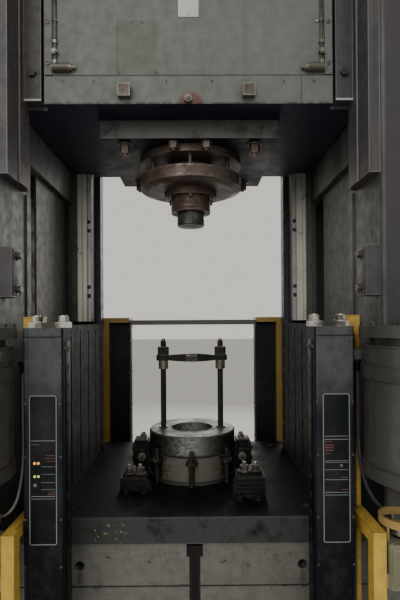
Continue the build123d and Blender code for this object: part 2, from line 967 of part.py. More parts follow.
# Motor on the crown
motor_rear = half_depth - crown_wall
motor_front = motor_rear - motor_length
motor_axis = [(motor_x, motor_z)]
with BuildPart() as motor:
    cross_rod(motor_radius, motor_front, motor_rear, motor_axis)
    rims = motor.edges().filter_by(GeomType.CIRCLE)
    fillet(rims, radius=upright_edge)
    block(
        (motor_x - motor_foot_width / 2, motor_x + motor_foot_width / 2),
        (motor_front + motor_radius / 2, motor_rear - motor_radius / 2),
        (crown_top, crown_top + foot_thickness),
    )
    block(
        (motor_x - motor_radius / 2, motor_x + motor_radius / 2),
        (motor_front + motor_radius / 2, motor_rear - motor_radius / 2),
        (crown_top, motor_z),
    )
    cross_rod(
        motor_shaft_radius + running_fit,
        motor_rear - motor_radius,
        motor_rear,
        motor_axis,
        Mode.SUBTRACT,
    )
save(motor, "motor")

# Motor pulley with its shaft
belt_front = flywheel_front + (flywheel_width - belt_width) / 2
belt_rear = belt_front + belt_width
with BuildPart() as motor_pulley:
    pulley_rear = flywheel_front + flywheel_width
    shaft_front = motor_rear - motor_radius + link_layer_gap
    cross_rod(pulley_radius, flywheel_front, pulley_rear, motor_axis)
    for face_y in (flywheel_front, pulley_rear - pulley_recess):
        cross_rod(
            pulley_radius - belt_thickness, face_y, face_y + pulley_recess, motor_axis, Mode.SUBTRACT
        )
    cross_rod(motor_shaft_radius, shaft_front, belt_rear, motor_axis)
save(motor_pulley, "motor_pulley")

# Drive belt round the flywheel and the pulley
with BuildPart() as drive_belt:
    for grow, belt_mode in ((belt_thickness + belt_gap, Mode.ADD), (belt_gap, Mode.SUBTRACT)):
        with BuildSketch(cross_plane(belt_rear)) as loop:
            with Locations((pinion_x, pinion_z)):
                Circle(flywheel_radius + grow)
            with Locations(*motor_axis):
                Circle(pulley_radius + grow)
            make_hull()
        extrude(loop.sketch, amount=belt_width, mode=belt_mode)
save(drive_belt, "drive_belt")


def tooth_angle(radius, teeth):
    """Half the angle that a tooth spans at a radius, by the involute's formula."""
    pitch_radius = gear_module * teeth / 2
    base_radius = pitch_radius * math.cos(math.radians(pressure_angle))
    roll = math.radians(pressure_angle)
    at_pitch = math.tan(roll) - roll
    slope = math.acos(min(1.0, base_radius / radius))
    at_radius = math.tan(slope) - slope
    half_pitch = math.pi / (2 * teeth) - backlash / (2 * pitch_radius)
    return half_pitch + at_pitch - at_radius


def toothed_disc(teeth, phase):
    """Sketch a spur gear's outline, with a tooth centred on the phase angle."""
    pitch_radius = gear_module * teeth / 2
    base_radius = pitch_radius * math.cos(math.radians(pressure_angle))
    root = pitch_radius - dedendum * gear_module
    tip = pitch_radius + addendum * gear_module
    foot = max(root, base_radius)
    middle = (foot + tip) / 2
    with BuildSketch(Plane.XY) as disc:
        Circle(root)
        with BuildLine():
            flank = [(r, tooth_angle(r, teeth)) for r in (foot, middle, tip)]
            right = [(r * math.cos(-a), r * math.sin(-a)) for r, a in flank]
            left = [(x, -y) for x, y in right]
            inside = root - gear_module / 4
            start = (inside * math.cos(flank[0][1]), -inside * math.sin(flank[0][1]))
            end = (start[0], -start[1])
            Line(start, right[0])
            ThreePointArc(*right)
            Line(right[2], left[2])
            ThreePointArc(left[2], left[1], left[0])
            Line(left[0], end)
            Line(end, start)
        tooth = make_face(mode=Mode.PRIVATE)
        for index in range(teeth):
            add(tooth.rotate(Axis.Z, phase + index * 360 / teeth))
    return disc.sketch


# Crank gear: toothed rim, web and hub, with the crank pin on its front
gear_rear = gear_front + gear_face
with BuildPart() as crank_gear:
    gear_plane = Plane(origin=(crank_x, gear_rear, crank_z), x_dir=(1, 0, 0), z_dir=(0, -1, 0))
    extrude(gear_plane * toothed_disc(gear_teeth, pinion_angle), amount=gear_face)
    gear_root = gear_module * gear_teeth / 2 - dedendum * gear_module
    with BuildSketch(gear_plane) as rear_dish:
        Circle(gear_root - gear_rim)
        Circle(gear_hub_radius, mode=Mode.SUBTRACT)
    extrude(rear_dish.sketch, amount=gear_face - gear_web, mode=Mode.SUBTRACT)
    with BuildSketch(gear_plane) as web_holes:
        with PolarLocations(web_hole_circle, web_hole_count, start_angle=web_hole_turn):
            Circle(web_hole_radius)
    extrude(web_holes.sketch, amount=gear_face, mode=Mode.SUBTRACT)
    cross_rod(gear_hub_radius, gear_rear, gear_hub_rear, gear_axis)
    cross_rod(crank_boss_radius, gear_front - crank_boss_length, gear_front, [crank_pin])
    cross_rod(crank_pin_radius, drive_front, gear_front, [crank_pin])
    cross_rod(
        gear_axle_radius + running_fit,
        gear_front + link_layer_gap,
        gear_hub_rear,
        gear_axis,
        Mode.SUBTRACT,
    )
save(crank_gear, "crank_gear")


def link_plate(places, radii, front, rear):
    """Add a plate whose outline is drawn tight round a circle at each pivot."""
    with BuildSketch(cross_plane(rear)) as plate:
        for (x, z), radius in zip(places, radii):
            with Locations((x, z)):
                Circle(radius)
        make_hull()
    extrude(plate.sketch, amount=rear - front)


# Drive link: three pivots in one plate, turning on the crank pin
with BuildPart() as drive_link:
    link_plate([drive_low, crank_pin], [drive_eye_long, drive_eye_mid], drive_front, drive_rear)
    link_plate([crank_pin, drive_high], [drive_eye_mid, drive_eye_short], drive_front, drive_rear)
    cross_rod(
        crank_pin_radius + running_fit, drive_front, drive_rear, [crank_pin], Mode.SUBTRACT
    )
    cross_rod(open_bore, drive_front, drive_rear, [drive_low, drive_high], Mode.SUBTRACT)
save(drive_link, "drive_link")

# Rocker: from its fixed pin down to the long end of the drive link
with BuildPart() as rocker:
    link_plate([rocker_pivot, drive_low], [rocker_head, rocker_eye], -link_rear, link_rear)
    cross_rod(pivot_radius + running_fit, -link_rear, link_rear, [rocker_pivot], Mode.SUBTRACT)
    cross_rod(pivot_radius, link_rear, drive_front - stub_gap, [drive_low])
save(rocker, "rocker")

# Connecting link: from the short end of the drive link down to the wrist pin
with BuildPart() as connecting_link:
    wrist = (0, wrist_z)
    link_plate([wrist, drive_high], [connecting_eye, connecting_eye], -link_rear, link_rear)
    cross_rod(pivot_radius + running_fit, -link_rear, link_rear, [wrist], Mode.SUBTRACT)
    cross_rod(pivot_radius, link_rear, drive_front - stub_gap, [drive_high])
save(connecting_link, "connecting_link")

# Plunger: guided cylinder above, adjusting screw below
with BuildPart() as plunger:
    turned(
        [
            (0, screw_bottom),
            (screw_radius, screw_bottom),
            (screw_radius, plunger_bottom),
            (plunger_radius, plunger_bottom),
            (plunger_radius, plunger_top),
            (0, plunger_top),
        ]
    )
    slot_half_y = link_rear + slot_side_gap
    block(
        (-plunger_slot_x, plunger_slot_x),
        (-slot_half_y, slot_half_y),
        (plunger_slot_floor, plunger_top),
        Mode.SUBTRACT,
    )
    cross_rod(pivot_radius + seat_gap, -plunger_radius, plunger_radius, [wrist], Mode.SUBTRACT)
save(plunger, "plunger")

# Wrist pin
with BuildPart() as wrist_pin:
    pin_half = math.sqrt(plunger_radius**2 - pivot_radius**2) - 1
    cross_rod(pivot_radius, -pin_half, pin_half, [wrist])
save(wrist_pin, "wrist_pin")

# Pinion shaft: pinion, shaft and the collars that hold the flywheel
with BuildPart() as pinion_shaft:
    shaft_rear = flywheel_front + flywheel_hub_width
    pinion_plane = Plane(origin=(pinion_x, gear_rear, pinion_z), x_dir=(1, 0, 0), z_dir=(0, -1, 0))
    pinion_phase = pinion_angle + 180 + 180 / pinion_teeth
    extrude(pinion_plane * toothed_disc(pinion_teeth, pinion_phase), amount=gear_face)
    cross_rod(
        shaft_radius,
        -half_depth - crown_wall,
        shaft_rear + shaft_collar_length,
        pinion_place,
    )
    cross_rod(
        shaft_collar_radius, shaft_rear + belt_gap, shaft_rear + shaft_collar_length, pinion_place
    )
save(pinion_shaft, "pinion_shaft")

# Flywheel: rim, web and hub turned about the shaft
with BuildPart() as flywheel:
    hub_rear = flywheel_front + flywheel_hub_width
    rim_rear = flywheel_front + flywheel_width
    dish = (flywheel_width - flywheel_web) / 2
    dish_radius = flywheel_radius - flywheel_rim
    web_front = flywheel_front + dish
    cross_rod(flywheel_radius, flywheel_front, rim_rear, pinion_place)
    cross_rod(dish_radius, flywheel_front, web_front, pinion_place, Mode.SUBTRACT)
    cross_rod(dish_radius, rim_rear - dish, rim_rear, pinion_place, Mode.SUBTRACT)
    cross_rod(flywheel_hub, flywheel_front, hub_rear, pinion_place)
    cross_rod(shaft_radius + running_fit, flywheel_front, hub_rear, pinion_place, Mode.SUBTRACT)
save(flywheel, "flywheel")

# Counterbalance cylinders, standing in the crown's floor
with BuildPart() as counterbalance_cylinders:
    upright_rod(balance_radius, crown_bottom, balance_roof + balance_cap, balance_places)
    upright_rod(balance_bore, balance_floor, balance_roof, balance_places, Mode.SUBTRACT)
    upright_rod(
        balance_rod_radius + running_fit, crown_bottom, balance_floor, balance_places, Mode.SUBTRACT
    )
save(counterbalance_cylinders, "counterbalance_cylinders")

# Counterbalance rods with their pistons, standing on the slide
with BuildPart() as counterbalance_rods:
    upright_rod(balance_rod_radius, slide_top, piston_z, balance_places)
    upright_rod(balance_bore - running_fit, piston_z, piston_z + piston_height, balance_places)
save(counterbalance_rods, "counterbalance_rods")

# Slide: box with a stepped wing at each side and a hub for the adjusting screw
with BuildPart() as slide:
    with BuildSketch(Plane.XY.offset(slide_bottom)):
        Rectangle(2 * slide_half, slide_depth)
        Rectangle(2 * wing_out, 2 * wing_y)
        Rectangle(2 * side_reach, 2 * (wing_y - side_step))
    extrude(amount=slide_height)
    with BuildSketch(Plane.XY.offset(slide_bottom + slide_floor)):
        Rectangle(2 * (slide_half - slide_wall), slide_depth - 2 * slide_wall)
        side_pocket = side_reach - slide_wall - side_pocket_inner
        with GridLocations(2 * side_pocket_inner + side_pocket, 0, 2, 1):
            Rectangle(side_pocket, 2 * (wing_y - side_step - slide_wall))
        Rectangle(2 * side_reach, slide_rib, mode=Mode.SUBTRACT)
        Rectangle(slide_rib, slide_depth, mode=Mode.SUBTRACT)
        Circle(slide_hub_radius, mode=Mode.SUBTRACT)
        with Locations(*balance_places):
            Circle(2 * balance_rod_radius, mode=Mode.SUBTRACT)
    extrude(amount=slide_height - slide_floor, mode=Mode.SUBTRACT)
    upright_rod(
        screw_nut_radius + seat_gap, slide_bottom + slide_floor, slide_top, [(0, 0)], Mode.SUBTRACT
    )
    for side, side_name in SIDES:
        block(
            (side * strip_inner, side * strip_outer),
            (slide_front - strip_proud, slide_front),
            (slide_bottom + apron_height, slide_top),
        )
    apron_z = slide_bottom + apron_height
    block(
        (-strip_inner, strip_inner),
        (slide_front, slide_front + groove_depth),
        (apron_z - groove_width / 2, apron_z + groove_width / 2),
        Mode.SUBTRACT,
    )
    block(
        (apron_seam_x - groove_width / 2, apron_seam_x + groove_width / 2),
        (slide_front, slide_front + groove_depth),
        (slide_bottom, apron_z),
        Mode.SUBTRACT,
    )
save(slide, "slide")

# Nut of the adjusting screw, seated in the slide's hub
with BuildPart() as screw_nut:
    nut_bore = screw_radius + running_fit
    turned(
        [
            (nut_bore, slide_bottom + slide_floor + adjustment),
            (screw_nut_radius, slide_bottom + slide_floor + adjustment),
            (screw_nut_radius, slide_top),
            (screw_nut_flange, slide_top),
            (screw_nut_flange, slide_top + screw_nut_flange_height),
            (nut_bore, slide_top + screw_nut_flange_height),
        ]
    )
save(screw_nut, "screw_nut")

# Fittings on the slide's front: square-head bolts, centre fitting and lubrication lines
with BuildPart() as slide_fittings:
    with BuildSketch(cross_plane(slide_front)):
        with Locations([(x, square_bolt_z) for x in square_bolt_xs]):
            Rectangle(square_bolt_across, square_bolt_across)
    extrude(amount=square_bolt_height)
    cross_rod(
        centre_fitting_radius,
        slide_front - centre_fitting_length,
        slide_front,
        [(centre_fitting_x, centre_fitting_z)],
    )
    for side, side_name in SIDES:
        pipe_y = slide_front - lube_radius + lube_pipe_flat
        upright_rod(lube_radius, lube_low_z, slide_top, [(side * lube_x, pipe_y)])
        block_end = lube_x + lube_radius + lube_block_overhang
        side_rod(
            lube_block_radius,
            side * (block_end - lube_block_length),
            side * block_end,
            [(slide_front - lube_block_radius + lube_block_flat, lube_low_z)],
        )
        cross_rod(
            lube_knob_radius,
            slide_front - lube_knob_length,
            slide_front,
            [(side * lube_x, lube_knob_z)],
        )
    # Flats that seat the pipes and blocks on the slide's front
    block(
        (-half_clear, half_clear),
        (slide_front, slide_front + 2 * lube_block_radius),
        (lube_low_z - 2 * lube_block_radius, slide_top + lube_block_radius),
        mode=Mode.SUBTRACT,
    )
save(slide_fittings, "slide_fittings")

# Adapter plate under the slide
with BuildPart() as adapter_plate:
    block(
        (-adapter_half, adapter_half),
        (adapter_front, adapter_rear),
        (adapter_bottom, slide_bottom),
    )
    chamfer(adapter_plate.edges().filter_by(Axis.Z), length=bolster_chamfer)
save(adapter_plate, "adapter_plate")

# Punch holder: flange, body and ring turned in one piece
holder_body_bottom = adapter_bottom - holder_flange - holder_body_height
holder_ring_bottom = holder_body_bottom - holder_ring_height
holder_bottom = holder_ring_bottom - holder_cone_height
with BuildPart() as punch_holder:
    turned(
        [
            (0, adapter_bottom),
            (holder_radius, adapter_bottom),
            (holder_radius, adapter_bottom - holder_flange),
            (holder_body_radius, adapter_bottom - holder_flange),
            (holder_body_radius, holder_body_bottom),
            (holder_radius, holder_body_bottom),
            (holder_radius, holder_ring_bottom),
            (holder_cone_radius, holder_bottom),
            (0, holder_bottom),
        ]
    )
    flange_bolt_places = [(-flange_bolt_x, flange_bolt_y), (flange_bolt_x, flange_bolt_y)]
    hex_prism(
        hanging_bolt_across + 2 * seat_gap,
        adapter_bottom - holder_flange,
        adapter_bottom,
        flange_bolt_places,
        Mode.SUBTRACT,
    )
save(punch_holder, "punch_holder")

# Sleeve with its retaining flange, and the punch in it
retainer_bottom = holder_bottom - retainer_height
with BuildPart() as punch_sleeve:
    sleeve_bore = punch_radius + seat_gap
    turned(
        [
            (sleeve_bore, holder_bottom),
            (retainer_radius, holder_bottom),
            (retainer_radius, retainer_bottom),
            (sleeve_radius, retainer_bottom),
            (sleeve_radius, sleeve_bottom),
            (sleeve_bore, sleeve_bottom),
        ]
    )
save(punch_sleeve, "punch_sleeve")

with BuildPart() as punch:
    turned(
        [
            (0, holder_bottom),
            (punch_radius, holder_bottom),
            (punch_radius, punch_bottom + bolster_chamfer),
            (punch_radius - bolster_chamfer, punch_bottom),
            (bolster_chamfer, punch_bottom),
            (0, punch_bottom + bolster_chamfer),
        ]
    )
save(punch, "punch")

# Bolts, pins and screws of the punch tooling
with BuildPart() as tool_bolts:
    hanging_places = [
        (sx * hanging_bolt_x, y) for sx in (-1, 1) for y in (hanging_bolt_front, hanging_bolt_rear)
    ]
    hex_prism(
        hanging_bolt_across, adapter_bottom - hanging_bolt_drop, adapter_bottom, hanging_places
    )
    hex_prism(
        hanging_bolt_across, adapter_bottom - flange_bolt_drop, adapter_bottom, flange_bolt_places
    )
    with BuildSketch(Plane.XY.offset(holder_body_bottom)):
        with PolarLocations(pin_circle, pin_count, start_angle=30):
            Circle(pin_radius)
    extrude(amount=holder_body_height)
    with BuildSketch(Plane.XY.offset(retainer_bottom - cap_screw_height)):
        with PolarLocations(cap_screw_circle, cap_screw_count, start_angle=30):
            Circle(cap_screw_radius)
    extrude(amount=cap_screw_height)
save(tool_bolts, "tool_bolts")

# Lower die: slotted base ring with its flange, floor and centre boss
stud_turns = [math.radians(turn) for turn in stud_angles]
stud_places = [
    Location((stud_circle * math.cos(turn), stud_circle * math.sin(turn), 0), (0, 0, angle))
    for turn, angle in zip(stud_turns, stud_angles)
]
slot_circle = (stud_slot_floor + stud_circle) / 2
slot_places = [
    Location((slot_circle * math.cos(turn), slot_circle * math.sin(turn), 0), (0, 0, angle))
    for turn, angle in zip(stud_turns, stud_angles)
]
with BuildPart() as die_base:
    base_floor = bolster_top + base_flange_height
    turned(
        [
            (0, bolster_top),
            (base_flange_radius, bolster_top),
            (base_flange_radius, base_floor),
            (base_radius, base_floor),
            (base_radius, die_seat),
            (base_bore, die_seat),
            (base_bore, base_floor),
            (base_boss_radius, base_floor),
            (base_boss_radius, base_boss_top),
            (0, base_boss_top),
        ]
    )
    with BuildSketch(Plane.XY.offset(base_floor)) as slots:
        with Locations(*slot_places):
            Rectangle(stud_circle - stud_slot_floor, stud_slot_width)
    extrude(slots.sketch, amount=base_height - base_flange_height, mode=Mode.SUBTRACT)
    with BuildSketch(Plane.XY.offset(stud_washer_z)) as pockets:
        with Locations(*stud_places):
            Circle(stud_washer_radius + draw_head_side)
    extrude(pockets.sketch, amount=die_seat - stud_washer_z, mode=Mode.SUBTRACT)
save(die_base, "die_base")

# Top ring of the die
with BuildPart() as die_ring:
    turned(
        [
            (die_bore, die_seat),
            (die_radius - die_seat_chamfer, die_seat),
            (die_radius, die_seat + die_seat_chamfer),
            (die_radius, die_top - die_chamfer),
            (die_radius - die_chamfer, die_top),
            (die_bore + die_chamfer, die_top),
            (die_bore, die_top - die_chamfer),
        ]
    )
    upright_rod(
        yoke_rod_radius + seat_gap,
        die_top - yoke_rod_depth,
        die_top,
        [(-yoke_half, 0), (yoke_half, 0)],
        Mode.SUBTRACT,
    )
    with BuildSketch(Plane.XY.offset(die_top)) as face_screws:
        with Locations([(x, face_screw_y) for x in face_screw_xs]):
            Circle(face_screw_radius)
    extrude(face_screws.sketch, amount=-face_screw_depth, mode=Mode.SUBTRACT)
save(die_ring, "die_ring")

# Studs round the base ring, each with a washer and a nut
with BuildPart() as die_studs:
    with BuildSketch(Plane.XY.offset(bolster_top)):
        with Locations(*stud_places):
            Circle(stud_radius)
    extrude(amount=stud_top - bolster_top)
    with BuildSketch(Plane.XY.offset(stud_washer_z)):
        with Locations(*stud_places):
            Circle(stud_washer_radius)
    extrude(amount=stud_washer_height)
    with BuildSketch(Plane.XY.offset(stud_washer_z + stud_washer_height)):
        with Locations(*stud_places):
            RegularPolygon(radius=stud_nut_radius, side_count=6)
    extrude(amount=stud_nut_height)
save(die_studs, "die_studs")

# Clamps of the die: a post at each side of it, and a stepped toe block in front at each side
with BuildPart() as die_clamps:
    half_clamp = side_clamp_width / 2
    for side, side_name in SIDES:
        block(
            (side * side_clamp_inner, side * side_clamp_outer),
            (-half_clamp, half_clamp),
            (base_floor, side_clamp_top),
        )
        block(
            (side * (base_flange_radius + side_clamp_foot_gap), side * side_clamp_outer),
            (-half_clamp, half_clamp),
            (bolster_top, base_floor),
        )
        clamp_middle = side * (side_clamp_inner + side_clamp_outer) / 2
        cross_rod(
            side_bolt_radius,
            -half_clamp - side_bolt_length,
            -half_clamp,
            [(clamp_middle, side_bolt_z)],
        )
        upright_rod(
            side_stem_radius,
            side_clamp_top,
            side_clamp_top + side_stem_height,
            [(clamp_middle, -half_clamp / 2), (clamp_middle, half_clamp / 2)],
        )
    toe_blocks = (
        (-1, toe_left_x, toe_left_front, toe_left_depth, toe_left_height),
        (1, toe_right_x, toe_right_front, toe_right_depth, toe_right_height),
    )
    for toe_side, toe_x, toe_front, toe_depth, toe_height in toe_blocks:
        step_height = toe_height / toe_steps
        corners = []
        for index in range(toe_steps):
            step_x = toe_x - toe_side * (toe_width / 2 - index * toe_step_depth)
            corners.append((step_x, bolster_top + index * step_height))
            corners.append((step_x, bolster_top + (index + 1) * step_height))
        corners.append((toe_x + toe_side * toe_width / 2, bolster_top + toe_height))
        corners.append((toe_x + toe_side * toe_width / 2, bolster_top))
        with BuildSketch(cross_plane(toe_front + toe_depth)):
            with BuildLine():
                Polyline(*corners, close=True)
            make_face()
        extrude(amount=toe_depth)
        toe_middle = toe_front + toe_depth / 2
        nut_low = bolster_top + toe_height
        nut_places = [
            (toe_x + toe_side * toe_width / 4, toe_middle),
            (toe_x - toe_side * toe_width / 8, toe_middle - toe_depth / 8),
        ]
        hex_prism(toe_nut_across, nut_low, nut_low + toe_nut_height, nut_places)
save(die_clamps, "die_clamps")

# Yoke rods with their collars and nuts
yoke_places = [(-yoke_half, 0), (yoke_half, 0)]
bar_bottom = yoke_bar_z - yoke_bar_end / 2
bar_top = yoke_bar_z + yoke_bar_end / 2
with BuildPart() as yoke_rods:
    upright_rod(yoke_rod_radius, die_top - yoke_rod_depth, yoke_rod_top, yoke_places)
    upright_rod(yoke_collar_radius, bar_bottom - yoke_collar_height, bar_bottom, yoke_places)
    hex_prism(yoke_nut_across, bar_top, bar_top + yoke_nut_height, yoke_places)
save(yoke_rods, "yoke_rods")

# Yoke bar: deeper in the middle than at its ends
with BuildPart() as yoke_bar:
    with BuildSketch(cross_plane(yoke_bar_depth / 2)):
        with BuildLine():
            straight = yoke_half - yoke_nut_across / math.sqrt(3)
            low_middle = (0, yoke_bar_z - yoke_bar_middle / 2)
            high_middle = (0, yoke_bar_z + yoke_bar_middle / 2)
            Line((-yoke_bar_reach, bar_bottom), (-straight, bar_bottom))
            ThreePointArc((-straight, bar_bottom), low_middle, (straight, bar_bottom))
            Line((straight, bar_bottom), (yoke_bar_reach, bar_bottom))
            Line((yoke_bar_reach, bar_bottom), (yoke_bar_reach, bar_top))
            Line((yoke_bar_reach, bar_top), (straight, bar_top))
            ThreePointArc((straight, bar_top), high_middle, (-straight, bar_top))
            Line((-straight, bar_top), (-yoke_bar_reach, bar_top))
            Line((-yoke_bar_reach, bar_top), (-yoke_bar_reach, bar_bottom))
        make_face()
    extrude(amount=yoke_bar_depth)
    end_edges = yoke_bar.edges().filter_by(Axis.Z).group_by(Axis.X)
    fillet(end_edges[0] + end_edges[-1], radius=yoke_rod_radius)
    upright_rod(yoke_rod_radius + seat_gap, bar_bottom, bar_top, yoke_places, Mode.SUBTRACT)
save(yoke_bar, "yoke_bar")


def curtain_housing(side, xs, face_y, zs):
    """Add one light curtain housing: a rounded box section with a sunk face between two flanges."""
    with BuildSketch(Plane.XY.offset(zs[0])) as section:
        with Locations((side * (xs[0] + xs[1]) / 2, face_y + curtain_depth / 2)):
            RectangleRounded(xs[1] - xs[0], curtain_depth, curtain_edge)
        with Locations((side * (xs[0] + xs[1]) / 2, face_y + curtain_recess / 2)):
            Rectangle(xs[1] - xs[0] - 2 * curtain_flange, curtain_recess, mode=Mode.SUBTRACT)
    extrude(section.sketch, amount=zs[1] - zs[0])


# Light curtains at the front and at the rear of the die space, the front ones with cable elbows
with BuildPart() as front_curtains:
    for side, side_name in SIDES:
        curtain_housing(
            side,
            (curtain_inner, curtain_outer),
            front_curtain_face,
            (curtain_bottom, curtain_top),
        )
        block(
            (side * curtain_outer, side * (curtain_outer + elbow_reach)),
            (cable_y - elbow_half, cable_y + elbow_half),
            (elbow_bottom, elbow_bottom + elbow_height),
        )
save(front_curtains, "front_curtains")

with BuildPart() as rear_curtains:
    for side, side_name in SIDES:
        curtain_housing(
            side,
            (rear_curtain_inner, rear_curtain_outer),
            rear_curtain_face,
            (curtain_bottom, rear_curtain_top),
        )
save(rear_curtains, "rear_curtains")

# Front guard frames: post behind the curtain, rail forward from it, leg to the floor
with BuildPart() as guard_frames:
    post_rear = front_post_face + post_depth
    for side, leg, post_inner in (
        (-1, left_leg, left_post_inner),
        (1, right_leg, right_post_inner),
    ):
        post_outer = post_inner + post_width
        leg_xs = (side * leg[0], side * leg[1])
        block((side * post_inner, side * post_outer), (front_post_face, post_rear), (0, post_top))
        block(leg_xs, (leg_face, leg_face + leg_depth), (0, rail_top))
        block(
            (side * max(leg[0], curtain_outer + rail_gap), side * leg[1]),
            (leg_face, front_post_face),
            (rail_top - rail_height, rail_top),
        )
        block(
            (side * post_inner, side * post_outer),
            (post_rear, bed_front),
            (anchor_arm_z, anchor_arm_z + post_depth),
        )
save(guard_frames, "guard_frames")

# Brackets: flat bars that hold the front curtains to the posts
with BuildPart() as curtain_brackets:
    bracket_top = curtain_top + bracket_thickness
    bracket_y = front_post_face - bracket_width / 2
    for side, side_name in SIDES:
        block(
            (side * curtain_inner, side * bracket_reach),
            (front_post_face - bracket_width, front_post_face),
            (curtain_top, bracket_top),
        )
        bolt_xs = (curtain_inner + bracket_width / 2, bracket_reach - bracket_width / 2)
        hex_prism(
            bracket_bolt_across,
            bracket_top,
            bracket_top + bracket_bolt_height,
            [(side * x, bracket_y) for x in bolt_xs],
        )
save(curtain_brackets, "curtain_brackets")

# Rear guard frame: posts on the floor, arms over the curtains and a rail between them
with BuildPart() as rear_guard_frame:
    rear_arm_top = rear_curtain_top + rear_arm_height
    rear_post_outer = rear_post_inner + rear_post_width
    rear_post_rear = rear_post_face + rear_post_width
    curtain_rear = rear_curtain_face + curtain_depth
    for side, side_name in SIDES:
        block(
            (side * rear_post_inner, side * rear_post_outer),
            (rear_post_face, rear_post_rear),
            (0, rear_curtain_top),
        )
        block(
            (side * rear_curtain_inner, side * rear_post_outer),
            (rear_post_face, curtain_rear),
            (rear_curtain_top, rear_arm_top),
        )
        block(
            (side * rear_post_inner, side * rear_post_outer),
            (-bed_front, rear_post_face),
            (anchor_arm_z, anchor_arm_z + post_depth),
        )
    block(
        (-rear_curtain_inner, rear_curtain_inner),
        (rear_curtain_face, rear_curtain_face + rear_arm_height),
        (rear_curtain_top - rear_rail_drop, rear_arm_top - rear_rail_drop),
    )
save(rear_guard_frame, "rear_guard_frame")

# Side guards: folded sheets that stand on the bolster
with BuildPart() as side_guards:
    for side, side_name in SIDES:
        outer_face = side_guard_x + sheet
        flange_edge = side_guard_x + side_guard_flange
        block(
            (side * side_guard_x, side * outer_face),
            (side_guard_front, side_guard_rear),
            (bolster_top, side_guard_top),
        )
        block(
            (side * outer_face, side * flange_edge),
            (side_guard_front, side_guard_rear),
            (bolster_top, bolster_top + sheet),
        )
        block(
            (side * outer_face, side * flange_edge),
            (side_guard_front, side_guard_rear),
            (side_guard_top - sheet, side_guard_top),
        )
save(side_guards, "side_guards")

# Button stations: a box on each leg with a ring guard over it and a junction box behind
station_floor = station_top - station_height
with BuildPart() as button_stations:
    station_inner = station_x - station_width / 2
    station_rear = station_y + station_depth / 2
    ring_low = station_top + ring_rise
    junction_low = junction_top - junction_height
    for side, leg in ((-1, left_leg), (1, right_leg)):
        with BuildSketch(Plane.XY.offset(station_floor)) as box_outline:
            with Locations((side * station_x, station_y)):
                RectangleRounded(station_width, station_depth, upright_edge)
        extrude(box_outline.sketch, amount=station_height)
        with BuildSketch(Plane.XY.offset(ring_low)) as ring:
            with Locations((side * station_x, station_y)):
                Circle(ring_radius)
                Circle(ring_radius - ring_wall, mode=Mode.SUBTRACT)
        extrude(ring.sketch, amount=ring_height)
        with BuildSketch(Plane.XY.offset(station_top)) as ring_feet:
            with Locations((side * station_x, station_y)):
                with PolarLocations(ring_radius - ring_wall / 2, ring_posts, start_angle=90):
                    Circle(ring_wall / 2)
        extrude(ring_feet.sketch, amount=ring_rise)
        upright_rod(
            button_stem_radius + button_bore_gap,
            station_top - button_bore_depth,
            station_top,
            [(side * station_x, station_y)],
            Mode.SUBTRACT,
        )
        block(
            (side * leg[1], side * (station_inner + upright_edge)),
            (leg_face, leg_face + leg_depth),
            (station_floor, station_floor + leg_depth),
        )
        block(
            (
                side * (junction_x - junction_width / 2),
                side * (junction_x + junction_width / 2),
            ),
            (station_rear - upright_edge, junction_y + junction_depth / 2),
            (junction_low, junction_top),
        )
        junction_place = [(side * gland_x, gland_y)]
        upright_rod(gland_radius, junction_top, gland_top, junction_place)
save(button_stations, "button_stations")

# Palm buttons: mushroom heads on stems that slide in the stations
for side, side_name in SIDES:
    with BuildPart() as palm_button:
        place = [(side * station_x, station_y)]
        head_low = station_top + button_lift
        upright_rod(button_radius, head_low, head_low + button_height, place)
        top_rim = palm_button.faces().sort_by(Axis.Z)[-1].edges()
        fillet(top_rim, radius=button_height / 3)
        upright_rod(button_stem_radius, station_top - button_stem_length, head_low, place)
    save(palm_button, f"palm_button_{side_name}")

# Air tanks: domed shell with a drain plug, neck, flange and outlet
tank_flange_top = tank_flange_z + tank_flange_height
tank_edge_low = tank_bottom + tank_dome
dome_radius = (tank_radius**2 + tank_dome**2) / (2 * tank_dome)
dome_centre_z = tank_bottom + dome_radius
dome_mid = tank_radius / 2
dome_mid_z = dome_centre_z - math.sqrt(dome_radius**2 - dome_mid**2)
drain_z = dome_centre_z - math.sqrt(dome_radius**2 - drain_radius**2)
with BuildPart() as tank_shape:
    with BuildSketch(Plane.XZ):
        with BuildLine():
            Polyline(
                (drain_radius, drain_z),
                (drain_radius, drain_z - drain_length),
                (0, drain_z - drain_length),
                (0, tank_pipe_top),
                (tank_pipe_radius, tank_pipe_top),
                (tank_pipe_radius, tank_flange_top),
                (tank_flange_radius, tank_flange_top),
                (tank_flange_radius, tank_flange_z),
                (tank_neck_radius, tank_flange_z),
                (tank_neck_radius, tank_shoulder),
                (tank_radius, tank_shoulder),
                (tank_radius, tank_edge_low),
            )
            ThreePointArc(
                (tank_radius, tank_edge_low),
                (dome_mid, dome_mid_z),
                (drain_radius, drain_z),
            )
        make_face()
    revolve(axis=Axis.Z)
with BuildPart() as air_tanks:
    with Locations((-tank_x, tank_y), (tank_x, tank_y)):
        add(tank_shape.part)
save(air_tanks, "air_tanks")

# Straps that hold the tanks to the uprights
with BuildPart() as tank_straps:
    strap_inner = tank_radius + strap_gap
    for side, side_name in SIDES:
        for strap_z in strap_zs:
            strap_low = strap_z - strap_height / 2
            strap_high = strap_z + strap_height / 2
            tank_place = [(side * tank_x, tank_y)]
            block(
                (side * (tank_x - strap_lug_half), side * (tank_x + strap_lug_half)),
                (tank_y + tank_radius / 2, -half_depth),
                (strap_low, strap_high),
            )
            upright_rod(strap_inner + strap_thickness, strap_low, strap_high, tank_place)
            upright_rod(strap_inner, strap_low, strap_high, tank_place, Mode.SUBTRACT)
save(tank_straps, "tank_straps")

